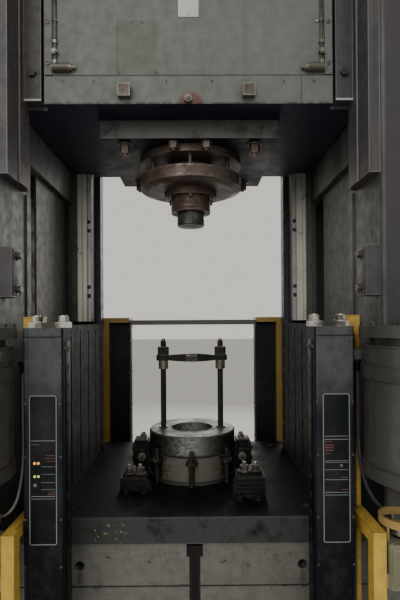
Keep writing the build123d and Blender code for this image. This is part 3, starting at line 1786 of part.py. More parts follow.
# Limit switch boxes on the uprights' inner faces, each with two roller knobs
with BuildPart() as limit_boxes:
    limit_y = (limit_front + limit_rear) / 2
    for side, side_name in SIDES:
        block(
            (side * limit_inner, side * half_clear),
            (limit_front, limit_rear),
            (limit_bottom, limit_top),
        )
        side_rod(
            limit_knob_radius,
            side * (limit_inner - limit_knob_length),
            side * limit_inner,
            [(limit_y, limit_bottom + limit_knob_inset), (limit_y, limit_top - limit_knob_inset)],
        )
save(limit_boxes, "limit_boxes")

# Window shutters: plates behind the uprights' inner walls, each with a pull
shutter_in = wall_inner + shutter_gap
shutter_out = shutter_in + shutter_thickness
shutter_low = window_bottom - shutter_lap
shutter_high = window_top + shutter_lap
shutter_fronts = ((-1, "left", left_shutter_front), (1, "right", right_shutter_front))
for side, side_name, shutter_front in shutter_fronts:
    with BuildPart() as shutter:
        block(
            (side * shutter_in, side * shutter_out),
            (shutter_front, shutter_front + shutter_length),
            (shutter_low, shutter_high),
        )
        pull_y = shutter_front + shutter_length / 2
        pull_top = shutter_high - shutter_handle_drop
        pull_bottom = pull_top - shutter_handle_length
        pull_x = shutter_out + shutter_handle_rise
        side_rod(
            shutter_handle_radius,
            side * shutter_out,
            side * pull_x,
            [(pull_y, pull_top), (pull_y, pull_bottom)],
        )
        upright_rod(
            shutter_handle_radius,
            pull_bottom - shutter_handle_radius,
            pull_top + shutter_handle_radius,
            [(side * pull_x, pull_y)],
        )
    save(shutter, f"shutter_{side_name}")

# Tracks: a channel above and below each shutter
with BuildPart() as shutter_tracks:
    groove_out = shutter_out + track_play
    upper_web = shutter_high + track_play
    lower_web = shutter_low - track_play
    track_ys = (-track_reach, track_reach)
    for side, side_name in SIDES:
        for web, away in ((upper_web, 1), (lower_web, -1)):
            outer_zs = (web - away * track_height, web + away * track_lip)
            block((side * wall_inner, side * (groove_out + track_lip)), track_ys, outer_zs)
            block(
                (side * wall_inner, side * groove_out),
                track_ys,
                (web - away * track_height, web),
                Mode.SUBTRACT,
            )
save(shutter_tracks, "shutter_tracks")

# Curtain cables: from each elbow down to the button station's gland
for side_name, route, radius in (
    ("left", left_cable_route, left_cable_radius),
    ("right", right_cable_route, right_cable_radius),
):
    points = [Vector(*point) for point in route]
    runs = [after - before for before, after in zip(points, points[1:])]
    bends = []
    for before, after in zip(runs, runs[1:]):
        half_turn = math.radians(before.get_angle(after)) / 2
        bends.append(0.45 * min(before.length, after.length) / math.tan(half_turn))
    with BuildPart() as cable:
        with BuildLine() as path:
            FilletPolyline(*points, radius=bends)
        with BuildSketch(Plane(origin=points[0], z_dir=runs[0])):
            Circle(radius)
        sweep()
    length = sum(edge.length for edge in path.edges())
    ratio = cable.part.volume / (math.pi * radius**2 * length)
    print(f"cable_{side_name}: length {length:.1f}, volume ratio {ratio:.4f}")
    print(f"cable_{side_name}: bend radii {[round(bend) for bend in bends]}")
    save(cable, f"cable_{side_name}")
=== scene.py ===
"""Looks of a straight-side link drive press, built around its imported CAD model."""

import logging
import math
import random
from dataclasses import dataclass
from enum import Enum
from itertools import product

import bmesh
import bpy
from mathutils import Matrix, Vector

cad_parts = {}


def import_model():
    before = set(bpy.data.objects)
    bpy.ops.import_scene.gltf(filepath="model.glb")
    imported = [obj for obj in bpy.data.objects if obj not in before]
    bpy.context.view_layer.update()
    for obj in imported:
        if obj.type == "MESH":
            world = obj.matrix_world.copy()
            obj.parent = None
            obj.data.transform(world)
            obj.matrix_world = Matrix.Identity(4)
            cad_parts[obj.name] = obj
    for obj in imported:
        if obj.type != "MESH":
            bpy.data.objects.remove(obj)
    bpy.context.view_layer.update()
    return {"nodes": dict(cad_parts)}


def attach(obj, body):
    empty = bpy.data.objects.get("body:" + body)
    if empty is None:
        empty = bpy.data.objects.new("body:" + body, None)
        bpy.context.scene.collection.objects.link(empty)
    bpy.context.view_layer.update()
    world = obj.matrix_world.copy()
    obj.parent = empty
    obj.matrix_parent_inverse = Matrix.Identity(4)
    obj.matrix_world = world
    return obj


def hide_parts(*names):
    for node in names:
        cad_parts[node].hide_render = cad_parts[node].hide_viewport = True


LOG = logging.getLogger("press")
MM = 0.001
RANDOM = random.Random(7)
CREASE = math.radians(35)
BOTH = (-1, 1)

Material = bpy.types.Material
Socket = bpy.types.NodeSocket
Value = Socket | str | float
Point = tuple[float, float, float]
Pair = tuple[float, float]

FRONT: Point = (0, -1, 0)
REAR: Point = (0, 1, 0)
UP: Point = (0, 0, 1)
DOWN: Point = (0, 0, -1)


def shade(colour: str) -> tuple[float, float, float, float]:
    """Turn a colour as it is seen into the shader's linear colour.

    Args:
        colour: Red, green and blue, 0 to 255, with spaces between.

    Returns:
        The linear colour with full alpha.
    """
    parts = [int(part) / 255 for part in colour.split()]
    linear = [p / 12.92 if p <= 0.04045 else ((p + 0.055) / 1.055) ** 2.4 for p in parts]
    return (*linear, 1.0)


def metres(point: Point) -> Vector:
    """Turn a point in millimetres into metres."""
    return Vector(point) * MM


def around(count: int, radius: float, start: float = 0.0, extra: int = 0) -> list[Pair]:
    """Spread points evenly on a circle round the origin.

    Args:
        count: Points in a full turn.
        radius: Radius of the circle.
        start: Steps by which the first point is turned.
        extra: Points past the full turn; one closes a loop.

    Returns:
        Both coordinates of each point.
    """
    angles = [math.tau * (step + start) / count for step in range(count + extra)]
    return [(radius * math.cos(angle), radius * math.sin(angle)) for angle in angles]


class Side(Enum):
    """The two sides of the press, as the sign of X."""

    LEFT = -1
    RIGHT = 1


class Tree:
    """Node tree, built from short calls; a text on an input is a colour as it is seen."""

    def __init__(self, owner: Material | bpy.types.World) -> None:
        """Empty the owner's tree."""
        owner.use_nodes = True
        self.tree = owner.node_tree
        self.tree.nodes.clear()

    def feed(self, target: Socket, value: Value | tuple[float, ...]) -> None:
        """Link a socket to an input, or write a plain value or a colour on it."""
        if isinstance(value, Socket):
            self.tree.links.new(value, target)
        else:
            target.default_value = shade(value) if isinstance(value, str) else value

    def node(self, kind: str, inputs: dict, **settings: object) -> bpy.types.Node:
        """Add a node.

        Args:
            kind: Its type, without the prefix that all shader nodes share.
            inputs: What goes into its inputs, by name or place.
            settings: Its own settings, which are made first.

        Returns:
            The node.
        """
        node = self.tree.nodes.new(f"ShaderNode{kind}")
        for setting, value in settings.items():
            setattr(node, setting, value)
        for key, value in inputs.items():
            self.feed(node.inputs[key], value)
        return node

    def calc(self, operation: str, first: Value, *others: Value) -> Socket:
        """Work out an operation on one value, or on several in turn."""
        for other in others or (0.0,):
            first = self.node("Math", {0: first, 1: other}, operation=operation).outputs["Value"]
        return first


class NodeWeb(Tree):
    """Node tree of one material.

    Attributes:
        material: The material that owns the tree.
        shader: Its Principled shader.
        colour: The colour built up so far.
        place: Place in the press's own frame, in metres, with its parts x, y and z.
        across: Distance from the press's middle.
        normal: Direction that the surface faces, with its parts ny and nz.
    """

    def __init__(self, name: str, colour: str) -> None:
        """Start a material with a bare shader and one colour."""
        self.material = bpy.data.materials.new(name)
        super().__init__(self.material)
        self.shader = self.node("BsdfPrincipled", {})
        self.node("OutputMaterial", {"Surface": self.shader.outputs["BSDF"]})
        self.place = self.node("TexCoord", {}).outputs["Object"]
        self.normal = self.node("NewGeometry", {}).outputs["Normal"]
        self.x, self.y, self.z = self.node("SeparateXYZ", {"Vector": self.place}).outputs
        _, self.ny, self.nz = self.node("SeparateXYZ", {"Vector": self.normal}).outputs
        self.across = self.calc("ABSOLUTE", self.x)
        self.colour: Value = colour

    def noise(
        self,
        scale: float,
        detail: float,
        roughness: float = 0.55,
        stretch: Point = (1.0, 1.0, 1.0),
        offset: Point = (0.0, 0.0, 0.0),
    ) -> Socket:
        """Add a noise over the press.

        Args:
            scale: Features in a metre.
            detail: Octaves.
            roughness: Strength of the fine octaves.
            stretch: Extra scale along each axis.
            offset: Shift that keeps two noises apart.

        Returns:
            The noise's value.
        """
        inputs = {"Scale": stretch, "Location": offset, "Vector": self.place}
        moved = self.node("Mapping", inputs).outputs["Vector"]
        inputs = {"Vector": moved, "Scale": scale, "Detail": detail, "Roughness": roughness}
        return self.node("TexNoise", inputs).outputs["Fac"]

    def rise(
        self, value: Value, low: float, high: float, start: float = 0.0, end: float = 1.0
    ) -> Socket:
        """Step smoothly from start to end while the value goes from low to high."""
        inputs = {
            "Value": value, "From Min": low, "From Max": high, "To Min": start, "To Max": end
        }
        return self.node("MapRange", inputs, interpolation_type="SMOOTHSTEP").outputs["Result"]

    def fall(
        self, value: Value, low: float, high: float, start: float = 1.0, end: float = 0.0
    ) -> Socket:
        """Step smoothly down while the value goes from low to high."""
        return self.rise(value, low, high, start, end)

    def band(self, value: Value, low: float, high: float, soft: float) -> Socket:
        """Share inside a band of a value, with soft ends."""
        inside = self.rise(value, low - soft, low + soft)
        return self.times(inside, self.fall(value, high - soft, high + soft))

    def times(self, *values: Value) -> Socket:
        """Multiply values."""
        return self.calc("MULTIPLY", *values)

    def most(self, *values: Value) -> Socket:
        """Take the largest of the values."""
        return self.calc("MAXIMUM", *values)

    def plus(self, first: Value, second: Value) -> Socket:
        """Add two values."""
        return self.calc("ADD", first, second)

    def less(self, first: Value, second: Value) -> Socket:
        """Take the second value from the first."""
        return self.calc("SUBTRACT", first, second)

    def blend(self, share: Value, under: Value, over: Value) -> Socket:
        """Lay one colour over another by a share."""
        inputs = {"Factor": share, "A": under, "B": over}
        mix = self.node("Mix", inputs, data_type="RGBA")
        return next(socket for socket in mix.outputs if socket.type == "RGBA")

    def lay(self, over: Value, *shares: Value) -> None:
        """Lay a colour over what is there, by the product of the shares."""
        share = self.times(*shares) if len(shares) > 1 else shares[0]
        self.colour = self.blend(share, self.colour, over)

    def edge(self, reach: float) -> Socket:
        """Share of a sharp edge near a point, up to a reach in metres; 0 on flat ground."""
        bevel = self.node("Bevel", {"Radius": reach}, samples=4)
        faces = {0: bevel.outputs["Normal"], 1: self.normal}
        dot = self.node("VectorMath", faces, operation="DOT_PRODUCT")
        return self.rise(self.less(1.0, dot.outputs["Value"]), 0.012, 0.16)

    def hollow(self, reach: float) -> Socket:
        """Share of shelter from close neighbours, found by ambient occlusion: where grime stays and
        where shade falls.
        """
        shelter = self.node("AmbientOcclusion", {"Distance": reach}, samples=4)
        return self.fall(shelter.outputs["AO"], 0.35, 0.95)

    def spot(self, x: float, z: float, radius: float, soft: float) -> Socket:
        """Share inside a round patch of the front, in metres."""
        along, up = self.less(self.x, x), self.less(self.z, z)
        away = self.calc("SQRT", self.plus(self.times(along, along), self.times(up, up)))
        return self.fall(away, radius - soft, radius + soft)

    def bump(self, height: Value, depth: float, strength: float) -> None:
        """Raise the surface by a height, up to a depth in metres."""
        inputs = {"Strength": strength, "Distance": depth, "Height": height}
        bump = self.node("Bump", inputs)
        earlier = self.shader.inputs["Normal"]
        if earlier.is_linked:
            self.feed(bump.inputs["Normal"], earlier.links[0].from_socket)
        self.feed(earlier, bump.outputs["Normal"])

    def finish(self, rough: Value, gloss: float = 0.5, metal: float = 0.0) -> Material:
        """Give the shader its colour, roughness, gloss and metal."""
        self.feed(self.shader.inputs["Base Color"], self.colour)
        self.feed(self.shader.inputs["Roughness"], rough)
        self.feed(self.shader.inputs["Specular IOR Level"], gloss)
        self.feed(self.shader.inputs["Metallic"], metal)
        return self.material


@dataclass(frozen=True)
class Finish:
    """A finish; each kind has its own way to make its material.

    Attributes:
        base: Its main colour.
    """

    base: str

    def marks(self, web: NodeWeb) -> None:
        """Add what only one piece has, such as a stain."""

    def make(self, name: str) -> Material:
        """Build the material under a name."""
        raise NotImplementedError


@dataclass(frozen=True)
class WornPaint(Finish):
    """Machine paint with broad tones, streaks of oil, grime, chips, worn edges and painted shade in
    corners.

    Attributes:
        tone: Colour of its faded patches.
        grime: Colour of grime and oil; laid in corners, it also paints shade.
        bare: Colour of what shows where the paint is gone.
        chips: Share of chips, from 0 to 1.
        wear: Strength of the wear on edges.
        streaks: Strength of the streaks that run down.
        corner_grime_and_shade: Strength of grime and painted shade in corners.
        rough: Roughness of the sound paint.
        gloss: Strength of the mirror-like share of its light.
        mottled: Strength of its small blotches.
    """

    tone: str
    grime: str = "38 36 34"
    bare: str = "120 112 104"
    chips: float = 0.3
    wear: float = 0.6
    streaks: float = 0.35
    corner_grime_and_shade: float = 0.5
    rough: float = 0.5
    gloss: float = 0.4
    mottled: float = 0.35

    def make(self, name: str) -> Material:
        """Build the material under a name."""
        web = NodeWeb(name, self.base)
        web.lay(self.tone, web.rise(web.noise(2.1, 4.0, 0.6), 0.38, 0.66))
        mottle = web.noise(34.0, 5.0, 0.65, offset=(3.1, 0.0, 1.7))
        web.lay(self.grime, web.rise(mottle, 0.35, 0.75, 0.0, self.mottled))
        streak = web.noise(1.0, 4.0, 0.62, (24.0, 24.0, 1.15), (0.0, 5.0, 2.0))
        web.lay(self.grime, web.rise(streak, 0.5, 0.74, 0.0, self.streaks))
        # Grime laid by ambient occlusion: partly real grime in corners, partly painted shade.
        corner = web.hollow(0.05)
        web.lay(self.grime, corner, web.rise(mottle, 0.25, 0.7, 0.4, 1.0), self.corner_grime_and_shade)
        ragged = web.noise(64.0, 5.0, 0.72, offset=(7.0, 2.0, 0.0))
        gone = web.rise(ragged, 0.83 - 0.22 * self.chips, 0.85 - 0.22 * self.chips)
        torn = web.plus(web.times(web.edge(0.004), self.wear), web.less(ragged, 0.62))
        gone = web.most(gone, web.rise(torn, 0.32, 0.42))
        web.lay(self.bare, gone)
        self.marks(web)
        web.bump(web.noise(310.0, 2.0), 0.0002, 0.25)
        web.bump(web.less(1.0, gone), 0.0006, 0.5)
        dull = web.rise(mottle, 0.3, 0.7, self.rough - 0.06, self.rough + 0.12)
        return web.finish(dull, self.gloss)


@dataclass(frozen=True)
class SlidePaint(WornPaint):
    """The slide's paint, with the marks that its front carries and painted shade on its underside.
    """

    # Two dark blue tones of painted shade for the underside.
    under: str = "11 19 50"
    deep_shade: str = "24 20 42"
    rust: str = "96 62 52"
    ghost: str = "88 88 78"

    def marks(self, web: NodeWeb) -> None:
        """Add the mark of a plate taken off, a rusty patch, oil, and painted shade on the
        underside.
        """
        ragged = web.noise(40.0, 4.0, 0.7, offset=(1.0, 9.0, 4.0))
        sway = web.rise(ragged, 0.2, 0.8, -0.006, 0.006)
        front = web.fall(web.ny, -0.9, -0.6)
        plate = web.band(web.plus(web.x, sway), -0.188, -0.079, 0.0025)
        plate = web.times(plate, web.band(web.z, 1.843, 1.988, 0.0025))
        web.lay(self.ghost, plate, front, 0.5)
        rim = web.band(web.x, -0.1895, -0.1865, 0.0012)
        web.lay(self.grime, rim, web.band(web.z, 1.843, 1.988, 0.002), front, 0.4)
        patch = web.spot(0.005, 1.764, 0.034, 0.006)
        web.lay(self.rust, patch, web.rise(ragged, 0.3, 0.5, 0.5, 1.0), front)
        low = web.fall(web.plus(web.z, sway), 1.769, 1.777)
        web.lay(self.grime, low, web.rise(ragged, 0.42, 0.55), front)
        # Painted shade on every face that looks down, in two dark blue tones.
        dark = web.rise(web.noise(6.0, 4.0), 0.4, 0.65)
        web.lay(web.blend(dark, self.under, self.deep_shade), web.fall(web.nz, -0.9, -0.5))


@dataclass(frozen=True)
class UprightPaint(WornPaint):
    """Paint of the uprights: cooler and duller outside, grey-green inside, dark rear bars."""

    inner: str = "92 93 88"
    brown: str = "58 54 53"
    rust: str = "96 62 52"
    sound: str = "94 99 96"
    worn: str = "78 81 77"
    bar: str = "30 38 48"

    def marks(self, web: NodeWeb) -> None:
        """Tell the walls of the die space from the outer faces, and right from left."""
        web.lay(self.brown, web.rise(web.x, 0.2, 0.3), 0.75)
        runs = web.noise(1.0, 4.0, 0.6, (34.0, 34.0, 0.8), (3.0, 1.0, 0.0))
        stain = web.rise(runs, 0.56, 0.68, 0.0, 0.55)
        left = web.times(web.band(web.x, -0.66, -0.555, 0.02), web.band(web.z, 1.55, 2.2, 0.12))
        web.lay(self.rust, stain, web.most(left, web.band(web.x, 0.5, 0.585, 0.02)))
        away = web.times(web.rise(web.ny, -0.7, -0.3), web.rise(web.across, 0.49, 0.52))
        cloud = web.noise(5.0, 5.0, 0.68, offset=(6.0, 1.0, 3.0))
        sound = web.blend(web.rise(cloud, 0.36, 0.66), self.sound, self.worn)
        drip = web.noise(1.0, 4.0, 0.62, (20.0, 20.0, 0.9), (1.0, 4.0, 2.0))
        sound = web.blend(web.rise(drip, 0.52, 0.72, 0.0, 0.5), sound, self.grime)
        ends = web.most(web.rise(web.z, 2.05, 2.55, 0.0, 0.9), web.fall(web.z, 0.7, 0.96, 0.75))
        outer = web.times(ends, web.rise(web.across, 0.464, 0.468))
        web.lay(sound, web.most(web.times(away, 0.8), outer))
        rub = web.noise(3.0, 5.0, 0.65, (1.0, 2.2, 0.7), (2.0, 2.0, 0.0))
        pale = web.blend(web.rise(rub, 0.35, 0.7), self.inner, self.grime)
        web.lay(pale, web.fall(web.across, 0.47, 0.478), 0.72)
        web.lay(self.bar, web.fall(web.across, 0.45, 0.457, 0.9))


@dataclass(frozen=True)
class GibPaint(WornPaint):
    """Paint of the front gibs, rubbed bright at the lips' lower edges.

    Attributes:
        rubbed: Colour of the rubbed edges.
        lip: Z of the lips' lower edges, in metres.
    """

    rubbed: str = "196 192 186"
    lip: float = 1.777

    def marks(self, web: NodeWeb) -> None:
        """Rub the lips' lower edges bright."""
        edge = web.band(web.z, self.lip - 0.001, self.lip + 0.005, 0.0015)
        inner = web.fall(web.across, 0.431, 0.434)
        web.lay(self.rubbed, edge, inner, web.fall(web.ny, -0.9, -0.6), 0.85)


@dataclass(frozen=True)
class BedPaint(WornPaint):
    """Pale grey paint of the bed's front, with dark chips and runs of oil."""

    chip: str = "34 33 31"

    def marks(self, web: NodeWeb) -> None:
        """Add chips along the plate's edges and oil under the two tapped holes."""
        ragged = web.noise(46.0, 5.0, 0.75, (1.0, 1.0, 1.4), (4.0, 1.0, 8.0))
        top = web.times(web.band(web.z, 0.585, 0.646, 0.02), 0.06)
        seam = web.times(web.band(web.z, 0.528, 0.546, 0.006), 0.09)
        web.lay(self.chip, web.rise(web.plus(ragged, web.most(top, seam)), 0.67, 0.69))
        for hole in (-0.278, 0.278):
            run = web.band(web.x, hole - 0.006, hole + 0.006, 0.006)
            web.lay(self.chip, run, web.band(web.z, 0.54, 0.575, 0.012), 0.55)


@dataclass(frozen=True)
class GuardYellow(WornPaint):
    """Yellow paint of the guard posts, with a grey crossbar between the rear ones."""

    bar: str = "92 92 87"
    shadow: str = "112 88 48"
    curtain_shadow: str = "48 46 33"

    def marks(self, web: NodeWeb) -> None:
        """Tell the crossbar from the frames, with the curtain's painted shadow on the front posts
        and painted shade on the rear frame.
        """
        runs = web.noise(1.0, 4.0, 0.6, (60.0, 60.0, 1.4), (2.0, 0.0, 1.0))
        # Painted shadow of the curtain on the front posts' faces.
        post = web.times(web.band(web.y, -0.44, -0.4, 0.004), web.band(web.z, 0.5, 1.165, 0.012))
        side = web.fall(web.across, 0.386, 0.39)
        web.lay(self.curtain_shadow, post, side, web.rise(runs, 0.3, 0.6, 0.75, 0.95))
        # Painted shade over the rear frame.
        behind = web.rise(web.y, 0.3, 0.34)
        web.lay(self.shadow, behind, 0.6)
        middle = web.fall(web.across, 0.262, 0.267)
        web.lay(self.bar, middle, web.rise(web.z, 1.15, 1.16), behind)


@dataclass(frozen=True)
class StationPaint(WornPaint):
    """Grey-beige paint of the button stations, with a yellow ring guard on top."""

    ring: str = "172 142 78"

    def marks(self, web: NodeWeb) -> None:
        """Tell the ring guard from the box."""
        high = web.rise(web.z, 0.744, 0.748)
        web.lay(self.ring, high, web.fall(web.y, -0.484, -0.48), 0.85)


@dataclass(frozen=True)
class BareSteel(Finish):
    """Bare or oiled steel: blotches, fine tool marks and bright worn edges.

    Attributes:
        stain: Colour of old oil or rust on it.
        bright: Colour of the worn edges.
        stained: Share of the stain.
        rough: Roughness of the clean metal.
        metal: Share of metallic reflection.
        wear: Strength of the bright edges.
        gloss: Strength of the mirror-like share of its light.
        grain: Scale of the tool marks along each axis.
    """

    stain: str
    bright: str = "170 166 158"
    stained: float = 0.5
    rough: float = 0.42
    metal: float = 0.75
    wear: float = 0.6
    gloss: float = 0.4
    grain: Point = (60.0, 60.0, 60.0)

    def make(self, name: str) -> Material:
        """Build the material under a name."""
        web = NodeWeb(name, self.base)
        blotch = web.noise(13.0, 5.0, 0.68, offset=(2.0, 4.0, 6.0))
        cover = web.rise(blotch, 0.62 - 0.3 * self.stained, 0.8 - 0.3 * self.stained)
        web.lay(self.stain, cover)
        speck = web.noise(120.0, 4.0, 0.7)
        web.lay(self.stain, web.rise(speck, 0.52, 0.72, 0.0, 0.4))
        rub = web.plus(web.times(web.edge(0.0025), self.wear), web.less(blotch, 0.55))
        shine = web.rise(rub, 0.25, 0.5)
        web.lay(self.bright, shine)
        self.marks(web)
        web.bump(web.noise(1.0, 3.0, 0.6, self.grain), 0.0003, 0.3)
        web.bump(speck, 0.0002, 0.25)
        dull = web.rise(blotch, 0.3, 0.7, self.rough - 0.1, self.rough + 0.16)
        return web.finish(web.less(dull, web.times(shine, 0.14)), self.gloss, self.metal)


@dataclass(frozen=True)
class BracketSteel(BareSteel):
    """Plated brackets: painted highlights at the ends, an oily middle."""

    ends_highlight: str = "218 216 208"
    oily: str = "50 50 46"

    def marks(self, web: NodeWeb) -> None:
        """Paint highlights on both ends and darken the middle."""
        ragged = web.noise(60.0, 4.0, 0.7)
        across = web.plus(web.across, web.rise(ragged, 0.2, 0.8, -0.008, 0.008))
        middle = web.rise(across, 0.298, 0.306)
        web.lay(self.oily, middle, web.fall(across, 0.332, 0.34), 0.85)
        # Painted highlights where the bracket's ends catch the light.
        ends = web.most(web.fall(across, 0.286, 0.294), web.rise(across, 0.346, 0.354))
        web.lay(self.ends_highlight, ends, 0.6)


@dataclass(frozen=True)
class ThreadSteel(BareSteel):
    """Steel of upright studs, with the turns of a thread as relief.

    Attributes:
        pitch: Height of one turn, in metres.
    """

    pitch: float = 0.002

    def marks(self, web: NodeWeb) -> None:
        """Cut the turns and darken their roots."""
        turns = web.calc("SINE", web.times(web.z, math.tau / self.pitch))
        turns = web.times(web.rise(turns, -1.0, 1.0), web.fall(web.nz, 0.5, 0.8))
        web.bump(turns, 0.0012, 0.9)
        web.lay(self.stain, web.fall(turns, 0.0, 0.5, 0.45))


@dataclass(frozen=True)
class BolsterSteel(BareSteel):
    """The bolster: a black oily top, a grey front with a bright upper edge."""

    top: str = "8 8 8"
    oily: str = "18 17 17"
    fleck: str = "170 150 96"

    def marks(self, web: NodeWeb) -> None:
        """Darken the top and fleck the front's left end."""
        cloud = web.rise(web.noise(7.0, 5.0, 0.7), 0.42, 0.68)
        oil = web.blend(cloud, self.top, self.oily)
        web.lay(oil, web.rise(web.nz, 0.8, 0.95), 0.97)
        ragged = web.noise(90.0, 4.0, 0.7, offset=(5.0, 0.0, 1.0))
        left, high = web.band(web.x, -0.245, -0.165, 0.015), web.band(web.z, 0.652, 0.697, 0.008)
        web.lay(self.fleck, left, high, web.rise(ragged, 0.57, 0.62), 0.8)


@dataclass(frozen=True)
class WaySteel(BareSteel):
    """Ground steel of the rear gibs: a painted highlight on the way, a streaked rest and a dark
    inner edge.
    """

    bar: str = "24 31 40"
    # The way's near-white colour is a painted highlight of the light from behind.
    way: str = "244 242 230"
    dull: str = "60 62 62"

    def marks(self, web: NodeWeb) -> None:
        """Paint a highlight on the way's front faces, stronger on the left and fading towards the
        top, where shadow falls, and lay lines down the rest.
        """
        lines = web.noise(1.0, 4.0, 0.62, (150.0, 150.0, 0.7), (3.0, 0.0, 0.0))
        web.lay(self.dull, web.rise(web.across, 0.44, 0.444), 0.75)
        # The way and a narrower rim get the painted highlight.
        way = web.times(web.rise(web.across, 0.404, 0.407), web.fall(web.across, 0.438, 0.443))
        rim = web.times(web.rise(web.across, 0.3885, 0.3895), web.fall(web.across, 0.399, 0.401))
        way = web.most(way, web.times(rim, 0.6))
        # Painted light: stronger on the left, weaker towards the top, where the slide's shadow
        # falls.
        left, low = web.fall(web.x, -0.1, 0.1, 0.95, 0.6), web.fall(web.z, 1.25, 1.6, 1.0, 0.75)
        web.lay(self.way, way, web.fall(web.ny, -0.9, -0.6), left, low)
        web.lay(self.dull, web.rise(lines, 0.5, 0.66, 0.0, 0.45))
        web.lay(self.bar, web.fall(web.across, 0.3872, 0.388, 0.9))


@dataclass(frozen=True)
class DieSteel(BareSteel):
    """Steel of the lower die: a painted highlight on the middle of the ring's front, painted shade
    on its flanks, a beige seat.
    """

    # The rubbed colour is a painted highlight, the dark one painted shade.
    rubbed: str = "158 160 153"
    beige: str = "122 120 106"
    dark: str = "30 31 29"

    def marks(self, web: NodeWeb) -> None:
        """Paint a highlight on the front's middle and shade on the flanks."""
        ragged = web.noise(70.0, 5.0, 0.75, (1.0, 1.0, 1.6), (1.0, 3.0, 0.0))
        sway = web.rise(ragged, 0.2, 0.8, -0.03, 0.03)
        across = web.calc("ABSOLUTE", web.plus(web.x, sway))
        front = web.fall(web.ny, -0.75, -0.4)
        ring = web.band(web.plus(web.z, web.times(sway, 0.06)), 0.797, 0.85, 0.004)
        # Painted highlight on the middle of the ring's front.
        rub = web.times(web.fall(across, 0.0, 0.075, 0.85), web.rise(ragged, 0.32, 0.62, 0.25, 1.0))
        web.lay(self.rubbed, ring, front, rub)
        seat = web.band(web.z, 0.722, 0.786, 0.002)
        web.lay(self.beige, seat, front, web.rise(ragged, 0.3, 0.6, 0.45, 0.85))
        # Painted shade on the ring's flanks, which turn away from the light.
        flank_shade = web.rise(across, 0.055, 0.115, 0.0, 0.92)
        web.lay(self.dark, flank_shade, web.fall(web.nz, 0.5, 0.8))


@dataclass(frozen=True)
class UndersideShadePlate(BareSteel):
    """A plate with a grey front and painted shade on its underside."""

    # Dark blue painted shade for what faces down.
    under: str = "12 17 34"

    def marks(self, web: NodeWeb) -> None:
        """Darken what faces down: painted shade."""
        web.lay(self.under, web.fall(web.nz, -0.9, -0.5), 0.94)


@dataclass(frozen=True)
class Moulding(Finish):
    """Smooth moulded or powder-coated surface with faint dust and scuffs.

    Attributes:
        dust: Colour of dust and scuffs.
        dusty: Share of dust.
        rough: Roughness.
        wear: Strength of pale worn edges.
        gloss: Strength of the mirror-like share of its light.
    """

    dust: str = "120 118 112"
    dusty: float = 0.25
    rough: float = 0.4
    wear: float = 0.3
    gloss: float = 0.35

    def make(self, name: str) -> Material:
        """Build the material under a name."""
        web = NodeWeb(name, self.base)
        cloud = web.noise(9.0, 5.0, 0.66)
        scuff = web.noise(70.0, 4.0, 0.7, (1.0, 1.0, 0.35))
        web.lay(self.dust, web.rise(cloud, 0.42, 0.78, 0.0, self.dusty))
        web.lay(self.dust, web.rise(scuff, 0.66, 0.72, 0.0, self.dusty))
        if self.wear:
            web.lay(self.dust, web.edge(0.0018), web.rise(scuff, 0.35, 0.6), self.wear)
        self.marks(web)
        web.bump(web.noise(420.0, 2.0), 0.0001, 0.2)
        dull = web.rise(cloud, 0.3, 0.7, self.rough - 0.05, self.rough + 0.14)
        return web.finish(dull, self.gloss)


@dataclass(frozen=True)
class CurtainPaint(Moulding):
    """A light curtain's housing: greyer above its label, darker blue below."""

    low: str = "9 12 19"
    middle: str = "92 95 94"
    smear: str = "46 52 55"

    def marks(self, web: NodeWeb) -> None:
        """Fade the housing from dark blue at the foot to a lighter grey on the head's front faces.
        """
        web.lay(self.low, web.fall(web.z, 0.66, 0.86, 0.92))
        front, before = web.fall(web.ny, -0.95, -0.7, 0.75), web.fall(web.y, -0.3, -0.1)
        web.lay(self.middle, web.rise(web.z, 0.98, 1.08), front, before)
        cloud = web.noise(30.0, 5.0, 0.74, (1.0, 1.0, 0.7), (2.0, 0.0, 5.0))
        patch = web.times(web.band(web.z, 1.04, 1.068, 0.012), web.rise(cloud, 0.38, 0.56))
        rubbed = web.most(web.rise(cloud, 0.44, 0.62, 0.0, 0.55), web.times(patch, 0.85))
        web.lay(self.smear, rubbed, web.times(front, before))


@dataclass(frozen=True)
class Lamp(Finish):
    """A small lens lit from behind.

    Attributes:
        strength: How strongly it shines.
    """

    strength: float

    def make(self, name: str) -> Material:
        """Build the material under a name."""
        web = NodeWeb(name, self.base)
        web.lay("255 255 255", web.rise(web.noise(900.0, 2.0), 0.3, 0.7, 0.0, 0.2))
        web.feed(web.shader.inputs["Emission Color"], web.colour)
        web.feed(web.shader.inputs["Emission Strength"], self.strength)
        return web.finish(0.25)


